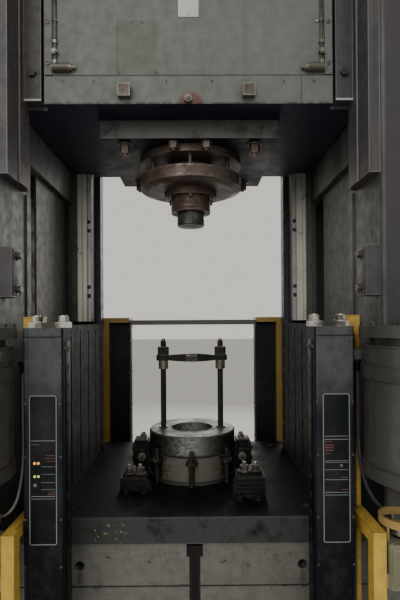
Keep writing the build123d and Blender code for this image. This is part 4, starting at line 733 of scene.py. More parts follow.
FINISHES: dict[str, Finish] = {
    "tag_white": Moulding("196 194 186", "120 108 98", dusty=0.35, rough=0.5),
    "bolt_bright": BareSteel(
        "160 156 146", "78 72 64", "228 225 215", rough=0.26, metal=0.8, wear=0.8
    ),
    "bolt_worn": BareSteel(
        "126 120 110", "72 64 56", "196 190 178",
        stained=0.45, rough=0.38, metal=0.6, wear=0.8,
    ),
    "bolt_dark": BareSteel("58 56 54", "34 32 32", "140 136 128", metal=0.5, wear=0.7),
    "bolt_capped": BareSteel("84 78 70", "56 48 43", "170 162 150", metal=0.4, wear=0.7),
    "bolt_rusty": BareSteel(
        "118 96 88", "76 50 44", "190 164 150",
        stained=0.55, rough=0.45, metal=0.45, wear=0.7,
    ),
    "label_dark": Moulding("18 23 25", dusty=0.12, rough=0.5, wear=0.0, gloss=0.15),
    "label_line": Moulding("132 138 136", dusty=0.4, rough=0.5, wear=0.0),
    "label_red": Moulding("112 62 66", dusty=0.3, rough=0.5, wear=0.0),
    "lamp_orange": Lamp("255 158 44", 0.85),
    "lamp_green": Lamp("172 206 62", 0.7),
    "edge_rubber": Moulding("24 24 26", dusty=0.2, rough=0.7, wear=0.0, gloss=0.1),
    "gib_rest_steel": BareSteel(
        "44 44 44", "28 28 28", "96 94 90", metal=0.2, gloss=0.2, wear=0.4
    ),
    "curtain_dark": Moulding("18 19 23", dusty=0.2, rough=0.5, gloss=0.15),
    "dark_glass": Moulding("11 10 14", dusty=0.1, wear=0.0, gloss=0.1),
    "slide_paint": SlidePaint(
        "104 109 105", "98 102 96", bare="70 62 58",
        chips=0.2, wear=0.5, streaks=0.14, corner_grime_and_shade=0.35, mottled=0.15,
    ),
    "upright_paint": UprightPaint(
        "62 64 78", "66 64 70", "32 30 33", "116 112 110", wear=0.5, streaks=0.5, corner_grime_and_shade=0.6
    ),
    "gib_paint": GibPaint(
        "68 70 78", "84 76 74", "36 34 36", "150 146 140",
        chips=0.35, wear=0.8, streaks=0.5,
    ),
    "crown_paint": WornPaint("92 97 94", "84 88 84", chips=0.2, wear=0.5, corner_grime_and_shade=0.45),
    "bed_paint": BedPaint(
        "112 112 105", "96 97 90", "44 42 39", "40 38 36",
        chips=0.5, wear=0.7, streaks=0.5,
    ),
    "bolster_steel": BolsterSteel(
        "66 68 68", "38 38 38", "130 130 128", stained=0.4, metal=0.05, gloss=0.1,
        rough=0.52, wear=0.7, grain=(220.0, 9.0, 220.0),
    ),
    "adapter_steel": UndersideShadePlate(
        "80 82 80", "52 50 50", "128 126 122", stained=0.35, metal=0.3, rough=0.5, wear=0.5
    ),
    "way_steel": WaySteel(
        "140 140 132", "84 82 76", "206 204 196",
        stained=0.4, metal=0.55, rough=0.36, wear=0.7, grain=(30.0, 240.0, 6.0),
    ),
    "shaft_steel": BareSteel("108 107 102", "72 67 60", metal=0.7, rough=0.4),
    "screw_black": BareSteel(
        "54 52 51", "30 28 28", "112 108 104", metal=0.3, rough=0.45, wear=0.5
    ),
    "black_steel": BareSteel(
        "36 35 34", "20 20 19", "96 94 90", metal=0.4, gloss=0.2, rough=0.45, wear=0.5
    ),
    "stud_steel": ThreadSteel(
        "74 73 69", "32 31 29", "164 160 152", stained=0.45, metal=0.6, rough=0.4, wear=0.7
    ),
    "die_steel": DieSteel(
        "70 71 67", "40 40 38", "150 150 142",
        stained=0.3, metal=0.3, gloss=0.25, rough=0.46, grain=(9.0, 9.0, 420.0),
    ),
    "punch_steel": BareSteel("96 84 77", "76 58 51", "150 138 128", metal=0.3, rough=0.46),
    "punch_tip": BareSteel(
        "92 92 88", "54 52 50", "160 158 150", stained=0.45, metal=0.6, rough=0.38
    ),
    "cast_iron": BareSteel(
        "86 85 81", "68 65 61", "140 137 130", stained=0.4, metal=0.3, rough=0.55, wear=0.4
    ),
    "bronze": BareSteel(
        "168 124 68", "96 70 44", "214 176 112", stained=0.4, metal=0.8, rough=0.36
    ),
    "fitting_steel": BareSteel(
        "92 88 80", "62 52 47", "170 164 152", stained=0.45, metal=0.4, wear=0.7
    ),
    "bracket_steel": BracketSteel(
        "112 110 100", "64 62 56", "216 214 204",
        stained=0.4, metal=0.4, rough=0.38, wear=0.8,
    ),
    "motor_paint": WornPaint("70 84 96", "62 72 82", chips=0.15, wear=0.4, streaks=0.3),
    "curtain_paint": CurtainPaint(
        "24 28 35", "88 92 93", dusty=0.18, rough=0.5, wear=0.45, gloss=0.15
    ),
    "yellow_paint": GuardYellow(
        "214 178 78", "196 158 66", "104 78 40", "96 66 42",
        wear=0.8, streaks=0.45, rough=0.42,
    ),
    "guard_sheet": WornPaint(
        "34 35 34", "25 26 27", "13 13 16", "80 78 72",
        chips=0.25, wear=0.35, streaks=0.75, corner_grime_and_shade=0.4, rough=0.55, gloss=0.12,
    ),
    "shutter_paint": WornPaint(
        "84 85 81", "74 75 71", "36 35 34", "120 116 108",
        chips=0.25, streaks=0.5, corner_grime_and_shade=0.4, rough=0.45,
    ),
    "station_paint": StationPaint(
        "132 128 102", "112 108 84", "58 54 40", "156 148 128",
        chips=0.2, streaks=0.3, corner_grime_and_shade=0.4, rough=0.45,
    ),
    "box_paint": WornPaint("74 74 78", "66 64 66", chips=0.25, streaks=0.3),
    "tank_paint": WornPaint(
        "78 78 75", "68 67 65", "38 36 35", "110 104 98",
        chips=0.15, wear=0.4, streaks=0.45, corner_grime_and_shade=0.35, rough=0.26, gloss=0.6,
    ),
    "strap_paint": WornPaint(
        "72 72 69", "63 62 60", "36 34 33", "100 95 90",
        chips=0.2, wear=0.2, streaks=0.3, corner_grime_and_shade=0.4, rough=0.36,
    ),
    "button_chrome": BareSteel(
        "190 188 182", "128 122 112", "230 228 222", stained=0.25, metal=0.9, rough=0.22
    ),
    "belt_rubber": Moulding("30 30 30", dusty=0.3, rough=0.7),
}

DRESSED = {
    "slide_paint": "slide",
    "upright_paint": "upright_left upright_right",
    "gib_paint": "front_gibs",
    "crown_paint": "crown crown_cover brake_housing",
    "bed_paint": "bed",
    "bolster_steel": "bolster",
    "adapter_steel": "adapter_plate",
    "way_steel": "rear_gibs",
    "shaft_steel": (
        "tie_rods screw_nut plunger wrist_pin plunger_guide pivot_pins pinion_shaft "
        "counterbalance_rods"
    ),
    "screw_black": "gib_screws",
    "black_steel": "die_clamps yoke_bar draw_rod",
    "stud_steel": "yoke_rods die_studs",
    "die_steel": "die_base die_ring",
    "punch_steel": "punch_holder punch_sleeve tool_bolts",
    "punch_tip": "punch",
    "cast_iron": "crank_gear drive_link rocker connecting_link flywheel motor_pulley",
    "bronze": "shaft_bushes",
    "fitting_steel": "slide_fittings",
    "bracket_steel": "curtain_brackets",
    "motor_paint": "motor counterbalance_cylinders",
    "curtain_paint": "front_curtains rear_curtains",
    "yellow_paint": "guard_frames rear_guard_frame",
    "guard_sheet": "side_guards",
    "shutter_paint": "shutter_left shutter_right shutter_tracks",
    "station_paint": "button_stations",
    "box_paint": "limit_boxes",
    "tank_paint": "air_tanks",
    "strap_paint": "tank_straps",
    "button_chrome": "palm_button_left palm_button_right",
    "belt_rubber": "drive_belt",
}


def dress(nodes: dict[str, bpy.types.Object]) -> dict[str, Material]:
    """Make every finish and put it on its CAD nodes.

    Args:
        nodes: The nodes by name.

    Returns:
        The materials by finish name.
    """
    made = {name: finish.make(name) for name, finish in FINISHES.items()}
    for name, members in DRESSED.items():
        for member in members.split():
            mesh = nodes[member].data
            mesh.materials.clear()
            mesh.materials.append(made[name])
        LOG.info("%s on %s", name, members)
    dressed = " ".join(DRESSED.values()).split()
    bare = [name for name in nodes if name not in dressed and not name.startswith("cable_")]
    if bare:
        LOG.warning("no finish for %s", bare)
    return made


def stand(name: str, data: bpy.types.ID) -> bpy.types.Object:
    """Put a camera, lamp, mesh or curve into the scene under a name."""
    made = bpy.data.objects.new(name, data)
    bpy.context.scene.collection.objects.link(made)
    return made


@dataclass
class PhotoCamera:
    """The camera at the photograph's place.

    Attributes:
        eye: Its place, in metres.
        focal: Focal length in pixels of a picture of this height.
        horizon: Pixels that the horizon lies below the middle.
        yaw: Turn to the right, in degrees.
        pitch: Tilt upward, in degrees.
        roll: Turn of the picture, in degrees.
        height: Pixels of the picture's height.
        sensor: Width of the sensor, in millimetres.
    """

    eye: Point = (0.018, -1.479, 1.195)
    focal: float = 451.0
    horizon: float = 22.0
    yaw: float = 0.38
    pitch: float = 0.3
    roll: float = -0.35
    height: float = 600.0
    sensor: float = 36.0

    def build(self) -> None:
        """Create the camera and make it the scene's."""
        data = bpy.data.cameras.new("photo_camera")
        data.sensor_width = self.sensor
        data.lens = self.focal * self.sensor / self.height
        lifted = self.focal * math.tan(math.radians(self.pitch))
        data.shift_y = (self.horizon - lifted) / self.height
        data.clip_start, data.clip_end = 0.05, 80.0
        camera = stand("photo_camera", data)
        matrix = Matrix.Translation(self.eye)
        for angle, axis in ((-self.yaw, "Z"), (90 + self.pitch, "X"), (self.roll, "Z")):
            matrix = matrix @ Matrix.Rotation(math.radians(angle), 4, axis)
        camera.matrix_world = matrix
        bpy.context.scene.camera = camera
        LOG.info("camera at %s", self.eye)


@dataclass
class Studio:
    """Pale floor, pale surroundings and soft light.

    Attributes:
        floor_reach: Half the floor's side, in metres.
        floor_shade: Colour of the floor.
        floor_patch: Colour of its faint patches.
        wall_shade: Colour of the surroundings as the camera sees them.
        world_light: Colour of the light from all round.
        world_strength: Strength of that light.
    """

    floor_reach: float = 30.0
    floor_shade: str = "196 193 186"
    floor_patch: str = "170 168 162"
    wall_shade: str = "226 223 214"
    world_light: tuple[float, ...] = (1.0, 0.99, 0.97, 1.0)
    world_strength: float = 0.72

    def build(self) -> None:
        """Create the floor, the world and the lamps."""
        self._floor()
        self._world()
        self._lamp("front_light", (-1.2, -4.6, 3.4), (0.0, 0.0, 1.3), 3.2, 95.0)
        self._lamp("rear_light", (0.8, 4.2, 2.6), (0.0, 0.0, 1.2), 3.0, 70.0)

    def _floor(self) -> None:
        """Create the floor."""
        reach = self.floor_reach
        mesh = bpy.data.meshes.new("floor")
        corners = [(-reach, -reach, 0), (reach, -reach, 0), (reach, reach, 0), (-reach, reach, 0)]
        mesh.from_pydata(corners, [], [(0, 1, 2, 3)])
        floor = stand("floor", mesh)
        web = NodeWeb("floor", self.floor_shade)
        web.lay(self.floor_patch, web.rise(web.noise(1.3, 3.0), 0.3, 0.7, 0.0, 0.12))
        mesh.materials.append(web.finish(0.8))

    def _world(self) -> None:
        """Create the surroundings: one strength for light, one colour for the eye."""
        world = bpy.data.worlds.new("surroundings")
        bpy.context.scene.world = world
        tree = Tree(world)
        path = tree.node("LightPath", {}).outputs
        rays = [path[f"Is {kind} Ray"] for kind in ("Camera", "Glossy", "Transmission")]
        lit = {"Color": self.world_light, "Strength": self.world_strength}
        seen = {"Color": self.wall_shade, "Strength": 1.0}
        grounds = [tree.node("Background", inputs).outputs[0] for inputs in (lit, seen)]
        share = tree.calc("MAXIMUM", *rays)
        mix = tree.node("MixShader", {"Fac": share, 1: grounds[0], 2: grounds[1]})
        tree.node("OutputWorld", {"Surface": mix.outputs["Shader"]})

    def _lamp(self, name: str, place: Point, aim: Point, size: float, power: float) -> None:
        """Create one soft lamp.

        Args:
            name: Name of the lamp.
            place: Where it hangs, in metres.
            aim: Point that it faces.
            size: Side of its square, in metres.
            power: Power in watts.
        """
        data = bpy.data.lights.new(name, "AREA")
        data.shape = "SQUARE"
        data.size = size
        data.energy = power
        data.color = (1.0, 0.98, 0.95)
        lamp = stand(name, data)
        lamp.location = place
        toward = Vector(aim) - Vector(place)
        lamp.rotation_mode = "QUATERNION"
        lamp.rotation_quaternion = toward.to_track_quat("-Z", "Y")


@dataclass
class CableRun:
    """A curtain's cable, from its elbow down to the button station.

    Attributes:
        side: Side of the press.
        radius: Radius of the jacket, in millimetres.
        length: Real length, in metres; not used.
        finish: Finish of the jacket.
        route: Points that steer it, in millimetres.
    """

    side: Side
    radius: float
    length: float
    finish: Finish
    route: list[Point]

    def build(self) -> None:
        name = self.side.name.lower()
        data = bpy.data.curves.new(f"cable_{name}_line", "CURVE")
        data.dimensions = "3D"
        data.bevel_depth = self.radius * MM
        data.bevel_resolution = 5
        data.use_fill_caps = True
        spline = data.splines.new("NURBS")
        spline.points.add(len(self.route) - 1)
        for point, place in zip(spline.points, self.route):
            point.co = (*metres(place), 1.0)
        spline.order_u = 3
        spline.use_endpoint_u = True
        spline.resolution_u = 12
        spline.use_smooth = True
        cable = stand(f"cable_{name}_jacket", data)
        data.materials.append(self.finish.make(f"cable_{name}_jacket"))
        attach(cable, "frame")
        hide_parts(f"cable_{name}")
        LOG.info("cable %s, %d points", name, len(self.route))


CABLES = [
    CableRun(
        Side.LEFT, 3.0, 0.4655,
        Moulding("128 124 116", dusty=0.4, rough=0.45, wear=0.0),
        [
            (-371, -470, 1110), (-370, -470, 1050), (-371, -471, 985), (-369, -471, 925),
            (-371, -473, 870), (-375, -475, 838), (-380, -482, 803), (-396, -487, 778),
            (-420, -486, 768), (-446, -478, 757), (-463, -468, 737), (-470, -463, 715),
            (-472, -462, 693),
        ],
    ),
    CableRun(
        Side.RIGHT, 4.0, 0.4459,
        Moulding("60 54 66", dusty=0.3, rough=0.35, wear=0.0),
        [
            (376, -470, 1110), (377, -470, 1045), (376, -471, 975), (378, -472, 910),
            (383, -474, 862), (394, -476, 822), (414, -477, 790), (438, -474, 770),
            (458, -468, 748), (469, -463, 721), (472, -462, 693),
        ],
    ),
]


class Form:
    """A piece under construction, in millimetres of the press's own frame."""

    def __init__(self, name: str, body: str, material: Material, slot: str) -> None:
        """Start with nothing.

        Args:
            name: Name of the piece.
            body: Body that it rides on.
            material: Its finish.
            slot: Material slot of the record that it belongs to; stored, not used.
        """
        self.name, self.body, self.material, self.slot = name, body, material, slot
        self.mesh = bmesh.new()

    def _skin(self, rings: list[list[Point]], closed: bool) -> None:
        """Join rings of points, with a face at both ends unless the last joins the first."""
        loops = [[self.mesh.verts.new(metres(point)) for point in ring] for ring in rings]
        if not closed:
            self.mesh.faces.new(loops[0])
            self.mesh.faces.new(loops[-1])
        for lower, upper in zip(loops, loops[1:] + loops[:closed]):
            for at in range(len(lower)):
                after = (at + 1) % len(lower)
                self.mesh.faces.new((lower[at], lower[after], upper[after], upper[at]))

    def block(self, low: Point, high: Point, edge: float) -> None:
        """Add a block between two corners, its edges rounded by a radius."""
        pairs = [sorted(pair) for pair in zip(low, high)]
        size = [b - a for a, b in pairs]
        matrix = Matrix.Translation(metres([(a + b) / 2 for a, b in pairs]))
        matrix = matrix @ Matrix.Diagonal((*[side * MM for side in size], 1.0))
        made = bmesh.ops.create_cube(self.mesh, size=1.0, matrix=matrix)
        edges = {e for v in made["verts"] for e in v.link_edges}
        edge = min(edge, 0.45 * min(size)) * MM
        bmesh.ops.bevel(
            self.mesh, geom=list(edges), offset=edge, segments=2, profile=0.5, affect="EDGES"
        )

    def lathe(
        self,
        base: Point,
        axis: Point,
        outline: list[Pair],
        sides: int = 32,
        hollow: bool = False,
        turn: float = 0.0,
    ) -> None:
        """Turn an outline about an axis.

        Args:
            base: Point on the axis that distances start from.
            axis: Direction of the axis.
            outline: Pairs of radius and distance along the axis.
            sides: Faces round it; six makes a hexagon.
            hollow: Whether the last pair joins the first, leaving a bore.
            turn: Turn about the axis, in degrees.
        """
        aim = Vector(axis).to_track_quat("Z", "Y").to_matrix()
        angles = [math.tau * at / sides + math.radians(turn) for at in range(sides)]
        rings = [
            [Vector(base) + aim @ Vector((r * math.cos(a), r * math.sin(a), rise)) for a in angles]
            for r, rise in outline
        ]
        self._skin(rings, hollow)

    def nut(
        self, base: Point, axis: Point, across: float, height: float, turn: float = 0.0
    ) -> None:
        """Add a chamfered hexagon nut or bolt head on a face."""
        corner = across / math.sqrt(3)
        cut = 0.1 * corner
        outline = [(corner, 0), (corner, height - cut), (corner - cut, height)]
        self.lathe(base, axis, outline, 6, turn=turn)

    def cap_screw(self, base: Point, axis: Point, radius: float, height: float) -> None:
        """Add a socket head with its recess."""
        shares = ((1, 0), (1, 0.85), (0.88, 1), (0.5, 1), (0.45, 0.45))
        self.lathe(base, axis, [(wide * radius, up * height) for wide, up in shares], 18)

    def ring(self, base: Point, axis: Point, outer: float, inner: float, height: float) -> None:
        """Add a washer or collar with small chamfers."""
        cut = min(0.8, 0.3 * height, 0.3 * (outer - inner))
        outline = [(inner, 0), (outer, 0), (outer, height - cut), (outer - cut, height)]
        self.lathe(base, axis, [*outline, (inner, height)], hollow=True)

    def tube(self, points: list[Point], radius: float, sides: int, ripple: float = 0.0) -> None:
        """Sweep a round section along points.

        Args:
            points: Points that the tube passes through.
            radius: Radius of the tube.
            sides: Faces round it.
            ripple: Share by which the radius comes and goes, as on a weld bead.
        """
        places = [Vector(point) for point in points]
        rings = []
        side = None
        for at, place in enumerate(places):
            ahead, behind = places[min(at + 1, len(places) - 1)], places[max(at - 1, 0)]
            along = (ahead - behind).normalized()
            if side is None:
                side = along.orthogonal().normalized()
            side = (side - side.dot(along) * along).normalized()
            up = along.cross(side)
            swell = radius * (1 + ripple * (0.6 * math.sin(2.1 * at) + RANDOM.random() - 0.5))
            rings.append([place + swell * (side * c + up * s) for c, s in around(sides, 1.0)])
        self._skin(rings, False)

    def frame(self, xs: Pair, zs: Pair, ys: Pair, width: float, corner: float) -> None:
        """Add a flat upright frame with rounded corners, facing the front.

        Args:
            xs: Left and right ends.
            zs: Low and high ends.
            ys: Front and back of its thickness.
            width: Width of its bars.
            corner: Radius of the outer corners.
        """
        loops = []
        for inset, y in ((0.0, ys[1]), (0.0, ys[0]), (width, ys[0]), (width, ys[1])):
            radius = max(corner - inset, 0.2)
            left, right = xs[0] + inset + radius, xs[1] - inset - radius
            low, high = zs[0] + inset + radius, zs[1] - inset - radius
            centres = ((right, high), (left, high), (left, low), (right, low))
            loop = []
            for quarter, (x, z) in enumerate(centres):
                for step in range(5):
                    angle = math.radians(90 * quarter + 22.5 * step)
                    loop.append((x + radius * math.cos(angle), y, z + radius * math.sin(angle)))
            loops.append(loop)
        self._skin(loops, True)

    def build(self) -> None:
        """Turn the form into a piece of the scene."""
        bmesh.ops.recalc_face_normals(self.mesh, faces=self.mesh.faces)
        mesh = bpy.data.meshes.new(self.name)
        self.mesh.to_mesh(mesh)
        self.mesh.free()
        mesh.polygons.foreach_set("use_smooth", [True] * len(mesh.polygons))
        mesh.set_sharp_from_angle(angle=CREASE)
        mesh.materials.append(self.material)
        piece = stand(self.name, mesh)
        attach(piece, self.body)
        LOG.info("piece %s on %s", self.name, self.body)


class Detail:
    """A group of small pieces that ride on one body."""

    body = "frame"

    def __init__(self, made: dict[str, Material]) -> None:
        """Take the materials by finish name."""
        self.made = made
        self.forms: list[Form] = []

    def piece(
        self, name: str, finish: str, slot: str = "fitting_steel", body: str = ""
    ) -> Form:
        """Start a piece with a finish and the record's slot that it belongs to."""
        self.forms.append(Form(name, body or self.body, self.made[finish], slot))
        return self.forms[-1]

    def shape(self) -> None:
        """Shape the pieces."""
        raise NotImplementedError

    def build(self) -> None:
        """Shape the pieces and put them into the scene."""
        self.shape()
        for form in self.forms:
            form.build()


class SlideFront(Detail):
    """Small pieces on the slide: tag, caps, lubrication fittings, screws and top plugs.

    Attributes:
        face: Y of the slide's front.
        low: Z of its underside.
        high: Z of its top.
    """

    body = "slide_group"
    face = -298.0
    low = 1768.0
    high = 2328.0

    def shape(self) -> None:
        """Shape the pieces."""
        tag = self.piece("slide_tag", "tag_white", "press_green_grey")
        tag.block((-27, self.face - 1.6, 1996), (27, self.face, 2066), 0.5)
        rivets = self.piece("slide_tag_rivets", "bolt_bright")
        for z in (2001, 2061):
            rivets.lathe((0, self.face - 1.6, z), FRONT, [(3, 0), (2.7, 0.8), (1.4, 1.4)], 14)
        caps = self.piece("square_bolt_caps", "bolt_capped")
        cap = [(21.5, 0), (19.5, 1.4), (6, 2.0)]
        for x in (-168, 156):
            caps.lathe((x, self.face - 20, 1797), FRONT, cap, 4, turn=45)
        nipple = [(6.5, 0), (6.5, 3), (3.2, 4), (3.2, 7), (4.2, 8.5), (2.4, 10.5)]
        self.piece("centre_nipple", "bolt_worn").lathe(
            (-2, self.face - 16, 1777), FRONT, nipple, 18
        )
        self._lubrication()
        self._screws()

    def _lubrication(self) -> None:
        """Shape nuts, clips and short elbows of the lubrication lines."""
        nuts = self.piece("line_nuts", "bolt_worn")
        clips = self.piece("line_clips", "bolt_bright")
        bow = ((-14, 0.6), (-7, 0.8), (-4, 7), (0, 8.6), (4, 7), (7, 0.8))
        elbow = [(8.5, 0), (8.5, 7), (4.5, 8), (4.5, 16), (2.5, 17)]
        for side in BOTH:
            x = side * 349
            for z, height in ((1871, 10), (1925, 8), (2120, 8), (2300, 8)):
                nut = [(6.6, 0), (7.4, 0.8), (7.4, height - 0.8), (6.6, height)]
                nuts.lathe((x, self.face - 3, z), UP, nut, 6)
            for z in (1985, 2215):
                clips.tube([(x + along, self.face - out, z) for along, out in bow], 1.3, 6)
                clips.cap_screw((x - 12, self.face - 1, z), FRONT, 3.4, 2.6)
            nuts.lathe((side * 311, self.face - 8, 1860), (-side, 0, 0), elbow, 16)
            nuts.cap_screw((x, self.face - 14, 1901), FRONT, 5.2, 2.5)

    def _screws(self) -> None:
        """Shape screws where a plate was, on the strips and the apron, and the top's plugs."""
        screws = self.piece("slide_screws", "bolt_dark")
        for x, z in ((-150, 1982), (-122, 1982), (-183, 1850), (-85, 1850)):
            screws.lathe((x, self.face, z), FRONT, [(3.2, 0), (3.0, 1.0), (1.6, 1.5)], 12)
        for side, step in product(BOTH, range(5)):
            place = (side * 367, self.face - 4, self.low + 105 + 108 * step)
            screws.cap_screw(place, FRONT, 5.0, 2.4)
        for x in (-330, -250, -60, 60, 250, 330):
            screws.lathe((x, self.face, 1827), FRONT, [(4.0, 0), (3.6, 1.0), (1.8, 1.4)], 14)
        plugs = self.piece("slide_top_plugs", "bolt_dark")
        for x, y in product((-225, 225), (-262, 262)):
            plugs.nut((x, y, self.high), UP, 30, 12)


class PunchDetail(Detail):
    """Washers, screws and rims of the punch tooling.

    Attributes:
        under: Z of the adapter plate's underside.
        tip: Z of the punch's end.
    """

    body = "slide_group"
    under = 1718.0
    tip = 1508.0

    def shape(self) -> None:
        """Shape the pieces."""
        washers = self.piece("hanging_washers", "bolt_rusty", "punch_steel")
        for x, y in product((-190, 190), (-153, 211)):
            washers.ring((x, y, self.under), DOWN, 21, 8, 3)
            washers.lathe((x, y, self.under - 28), DOWN, [(8, 0), (8, 5), (6.8, 6.4)], 20)
        for x in (-48, 48):
            washers.lathe((x, -172, self.under - 20), DOWN, [(7, 0), (7, 4), (6, 5)], 18)
        screws = self.piece("holder_cap_screws", "bolt_dark", "punch_steel")
        for x, y in around(6, 75, 0.5):
            screws.cap_screw((x, y, 1589), DOWN, 6.4, 1.6)
        rims = self.piece("punch_rims", "punch_tip", "punch_steel")
        for z in (1657, 1631):
            rims.ring((0, 0, z), DOWN, 163.6, 161.5, 2.2)
        rims.ring((0, 0, 1566), DOWN, 64.7, 62.5, 2.0)
        rims.ring((0, 0, self.tip), DOWN, 9, 3.4, 0.6)


@dataclass(frozen=True)
class Label:
    """A curtain's bare label, with plain bars for its fields.

    A bar is told by its two ends, its Z and its height. An end counts from the label's
    middle, and None stands for the margin.

    Attributes:
        ends: X of its left and right side.
        pale: The pale bars.
        red: The red bars.
        spot: X, Z and radius of its ring.
    """

    ends: Pair
    pale: list[tuple]
    red: list[tuple]
    spot: Point

    def rows(self, form: Form, bars: list[tuple], sunk: float) -> None:
        """Lay bars on the label's face, which stands at a Y."""
        left, right = self.ends
        middle = (left + right) / 2
        for start, end, z, thick in bars:
            low = left + 4 if start is None else middle + start
            high = right - 4 if end is None else middle + end
            corner = (high, sunk - 0.2, z + thick / 2)
            form.block((low, sunk - 0.6, z - thick / 2), corner, 0.1)


LABELS = {
    Side.LEFT: Label(
        (-346.5, -287.0),
        [
            (None, None, 940, 1.6), (None, None, 820, 1.4), (None, None, 814.6, 1.0),
            *[(-4, None, z, 0.8) for z in (884, 868, 850, 835)],
        ],
        [
            (None, -8, 932, 1.8), (6, None, 908, 1.6), (2, None, 902, 1.4),
            (8, None, 896, 1.6), (10, None, 824.6, 1.6), (12, None, 829.5, 1.2),
        ],
        (-334, 844.3, 3.6),
    ),
    Side.RIGHT: Label(
        (290.0, 348.5),
        [
            (None, None, 938.5, 1.4),
            *[(None, None, z, 1.2) for z in (945.5, 851, 823.6, 817.8)],
            *[(None, None, z, 1.0) for z in (892, 888.6, 872.6)],
        ],
        [
            (None, -10, 933.5, 1.6), (None, -12, 908, 1.6),
            *[(None, -6, z, 2.2) for z in (926, 920.5, 915)],
            *[(10, None, z, 1.8) for z in (856, 829.5)],
        ],
        (329.7, 881.9, 2.6),
    ),
}


class CurtainDetail(Detail):
    """Faces, end caps, windows and lamps of the light curtains.

    Attributes:
        face: Y of a front curtain's flanges.
        inner: Distance of the inner side from the middle.
        outer: Distance of the outer side from the middle.
        low: Z of the foot.
        high: Z of the head.
    """

    face = -502.0
    inner = 273.0
    outer = 360.0
    low = 430.0
    high = 1184.0

    def shape(self) -> None:
        """Shape the pieces."""
        for side in Side:
            name, sign = side.name.lower(), side.value
            self._label(name, LABELS[side])
            if side is Side.LEFT:
                self._lamps()
            self._caps(name, sign)
            self._windows(name, sign)
        self._rear()

    def _label(self, name: str, label: Label) -> None:
        """Shape a bare label with its outline and plain bars."""
        sunk = self.face + 2
        left, right = label.ends
        panel = self.piece(f"curtain_label_{name}", "label_dark", "curtain_paint")
        panel.block((left, sunk - 0.3, 715), (right, sunk, 1038), 0.1)
        line = self.piece(f"curtain_lines_{name}", "label_line", "curtain_paint")
        line.frame(label.ends, (715, 1038), (sunk - 0.6, sunk - 0.2), 1.9, 5)
        label.rows(line, label.pale, sunk)
        x, z, radius = label.spot
        line.ring((x, sunk - 0.2, z), FRONT, radius, 0.4 * radius, 0.6)
        bars = self.piece(f"curtain_bars_{name}", "label_red", "curtain_paint")
        label.rows(bars, label.red, sunk)

    def _lamps(self) -> None:
        """Shape the left label's two pairs of lamps."""
        lens = [(2.9, 0), (2.8, 0.8), (2.0, 1.5), (0.8, 1.8)]
        for colour, z in (("orange", 891.5), ("green", 863)):
            lamps = self.piece(f"curtain_lamps_{colour}", f"lamp_{colour}", "curtain_paint")
            for x in (-335.0, -327.0):
                lamps.lathe((x, self.face + 1.8, z), FRONT, lens, 18)

    def _caps(self, name: str, sign: int) -> None:
        """Shape end caps, the screws along the flanges and the cable's glands."""
        inner, outer = sign * self.inner, sign * self.outer
        caps = self.piece(f"curtain_caps_{name}", "curtain_dark", "curtain_paint")
        ends = (inner - 0.6 * sign, outer + 0.6 * sign)
        for low, high in ((self.low - 6, self.low), (self.high - 20, self.high - 18.4)):
            caps.block((ends[0], self.face - 0.8, low), (ends[1], self.face + 70.8, high), 0.7)
        screws = self.piece(f"curtain_screws_{name}", "bolt_dark")
        for x in (inner + 5 * sign, outer - 5 * sign):
            for z in (448, 560, 668, 770, 905, 1020, 1110, 1158):
                screws.lathe((x, self.face, z), FRONT, [(2.6, 0), (2.4, 0.7), (1.2, 1.1)], 12)
        for z, y in product((460, 1140), (self.face + 14, self.face + 56)):
            screws.cap_screw((outer, y, z), (sign, 0, 0), 3.6, 2.2)
            screws.cap_screw((inner, y, z), (-sign, 0, 0), 3.6, 2.2)
        glands = self.piece(f"cable_glands_{name}", "curtain_dark", "curtain_paint")
        upper = [(9.5, 0), (9.5, 7), (7.5, 9), (6.2, 22), (4.6, 27)]
        lower = [(8.5, 0), (8.5, 5), (7.0, 7), (6.0, 18), (4.6, 22)]
        elbow = -371 if sign < 0 else 376
        glands.lathe((elbow, self.face + 32, 1110.5), DOWN, upper, 20)
        glands.lathe((sign * 472, -462, 692.5), UP, lower, 20)

    def _windows(self, name: str, sign: int) -> None:
        """Shape the dark window on the inner side with its row of lenses."""
        x, glass, middle = sign * self.inner, sign * (self.inner - 1.2), self.face + 36
        pane = self.piece(f"curtain_pane_{name}", "dark_glass", "curtain_paint")
        corner = (glass, middle + 17, self.high - 30)
        pane.block((x, middle - 17, self.low + 24), corner, 0.4)
        lenses = self.piece(f"curtain_lenses_{name}", "curtain_dark", "curtain_paint")
        lens = [(7.5, 0), (7.2, 0.5), (5.2, 0.6), (4.8, 0.1)]
        for step in range(17):
            lenses.lathe((glass, middle, self.low + 50 + 41 * step), (-sign, 0, 0), lens, 22)

    def _rear(self) -> None:
        """Shape panes and screws of the rear curtains."""
        panes = self.piece("rear_panes", "dark_glass", "curtain_paint")
        screws = self.piece("rear_curtain_screws", "bolt_worn")
        for sign in BOTH:
            x = sign * 265
            panes.block((x, 447, 454), (x - sign * 1.2, 481, 1164), 0.4)
            for z, y in product((452, 560, 700, 840, 980, 1120, 1176), (434, 494)):
                screws.cap_screw((x, y, z), (-sign, 0, 0), 3.0, 2.0)
            for z, x in product((470, 700, 930, 1150), (270, 350)):
                screws.cap_screw((sign * x, 499, z), REAR, 3.0, 2.0)


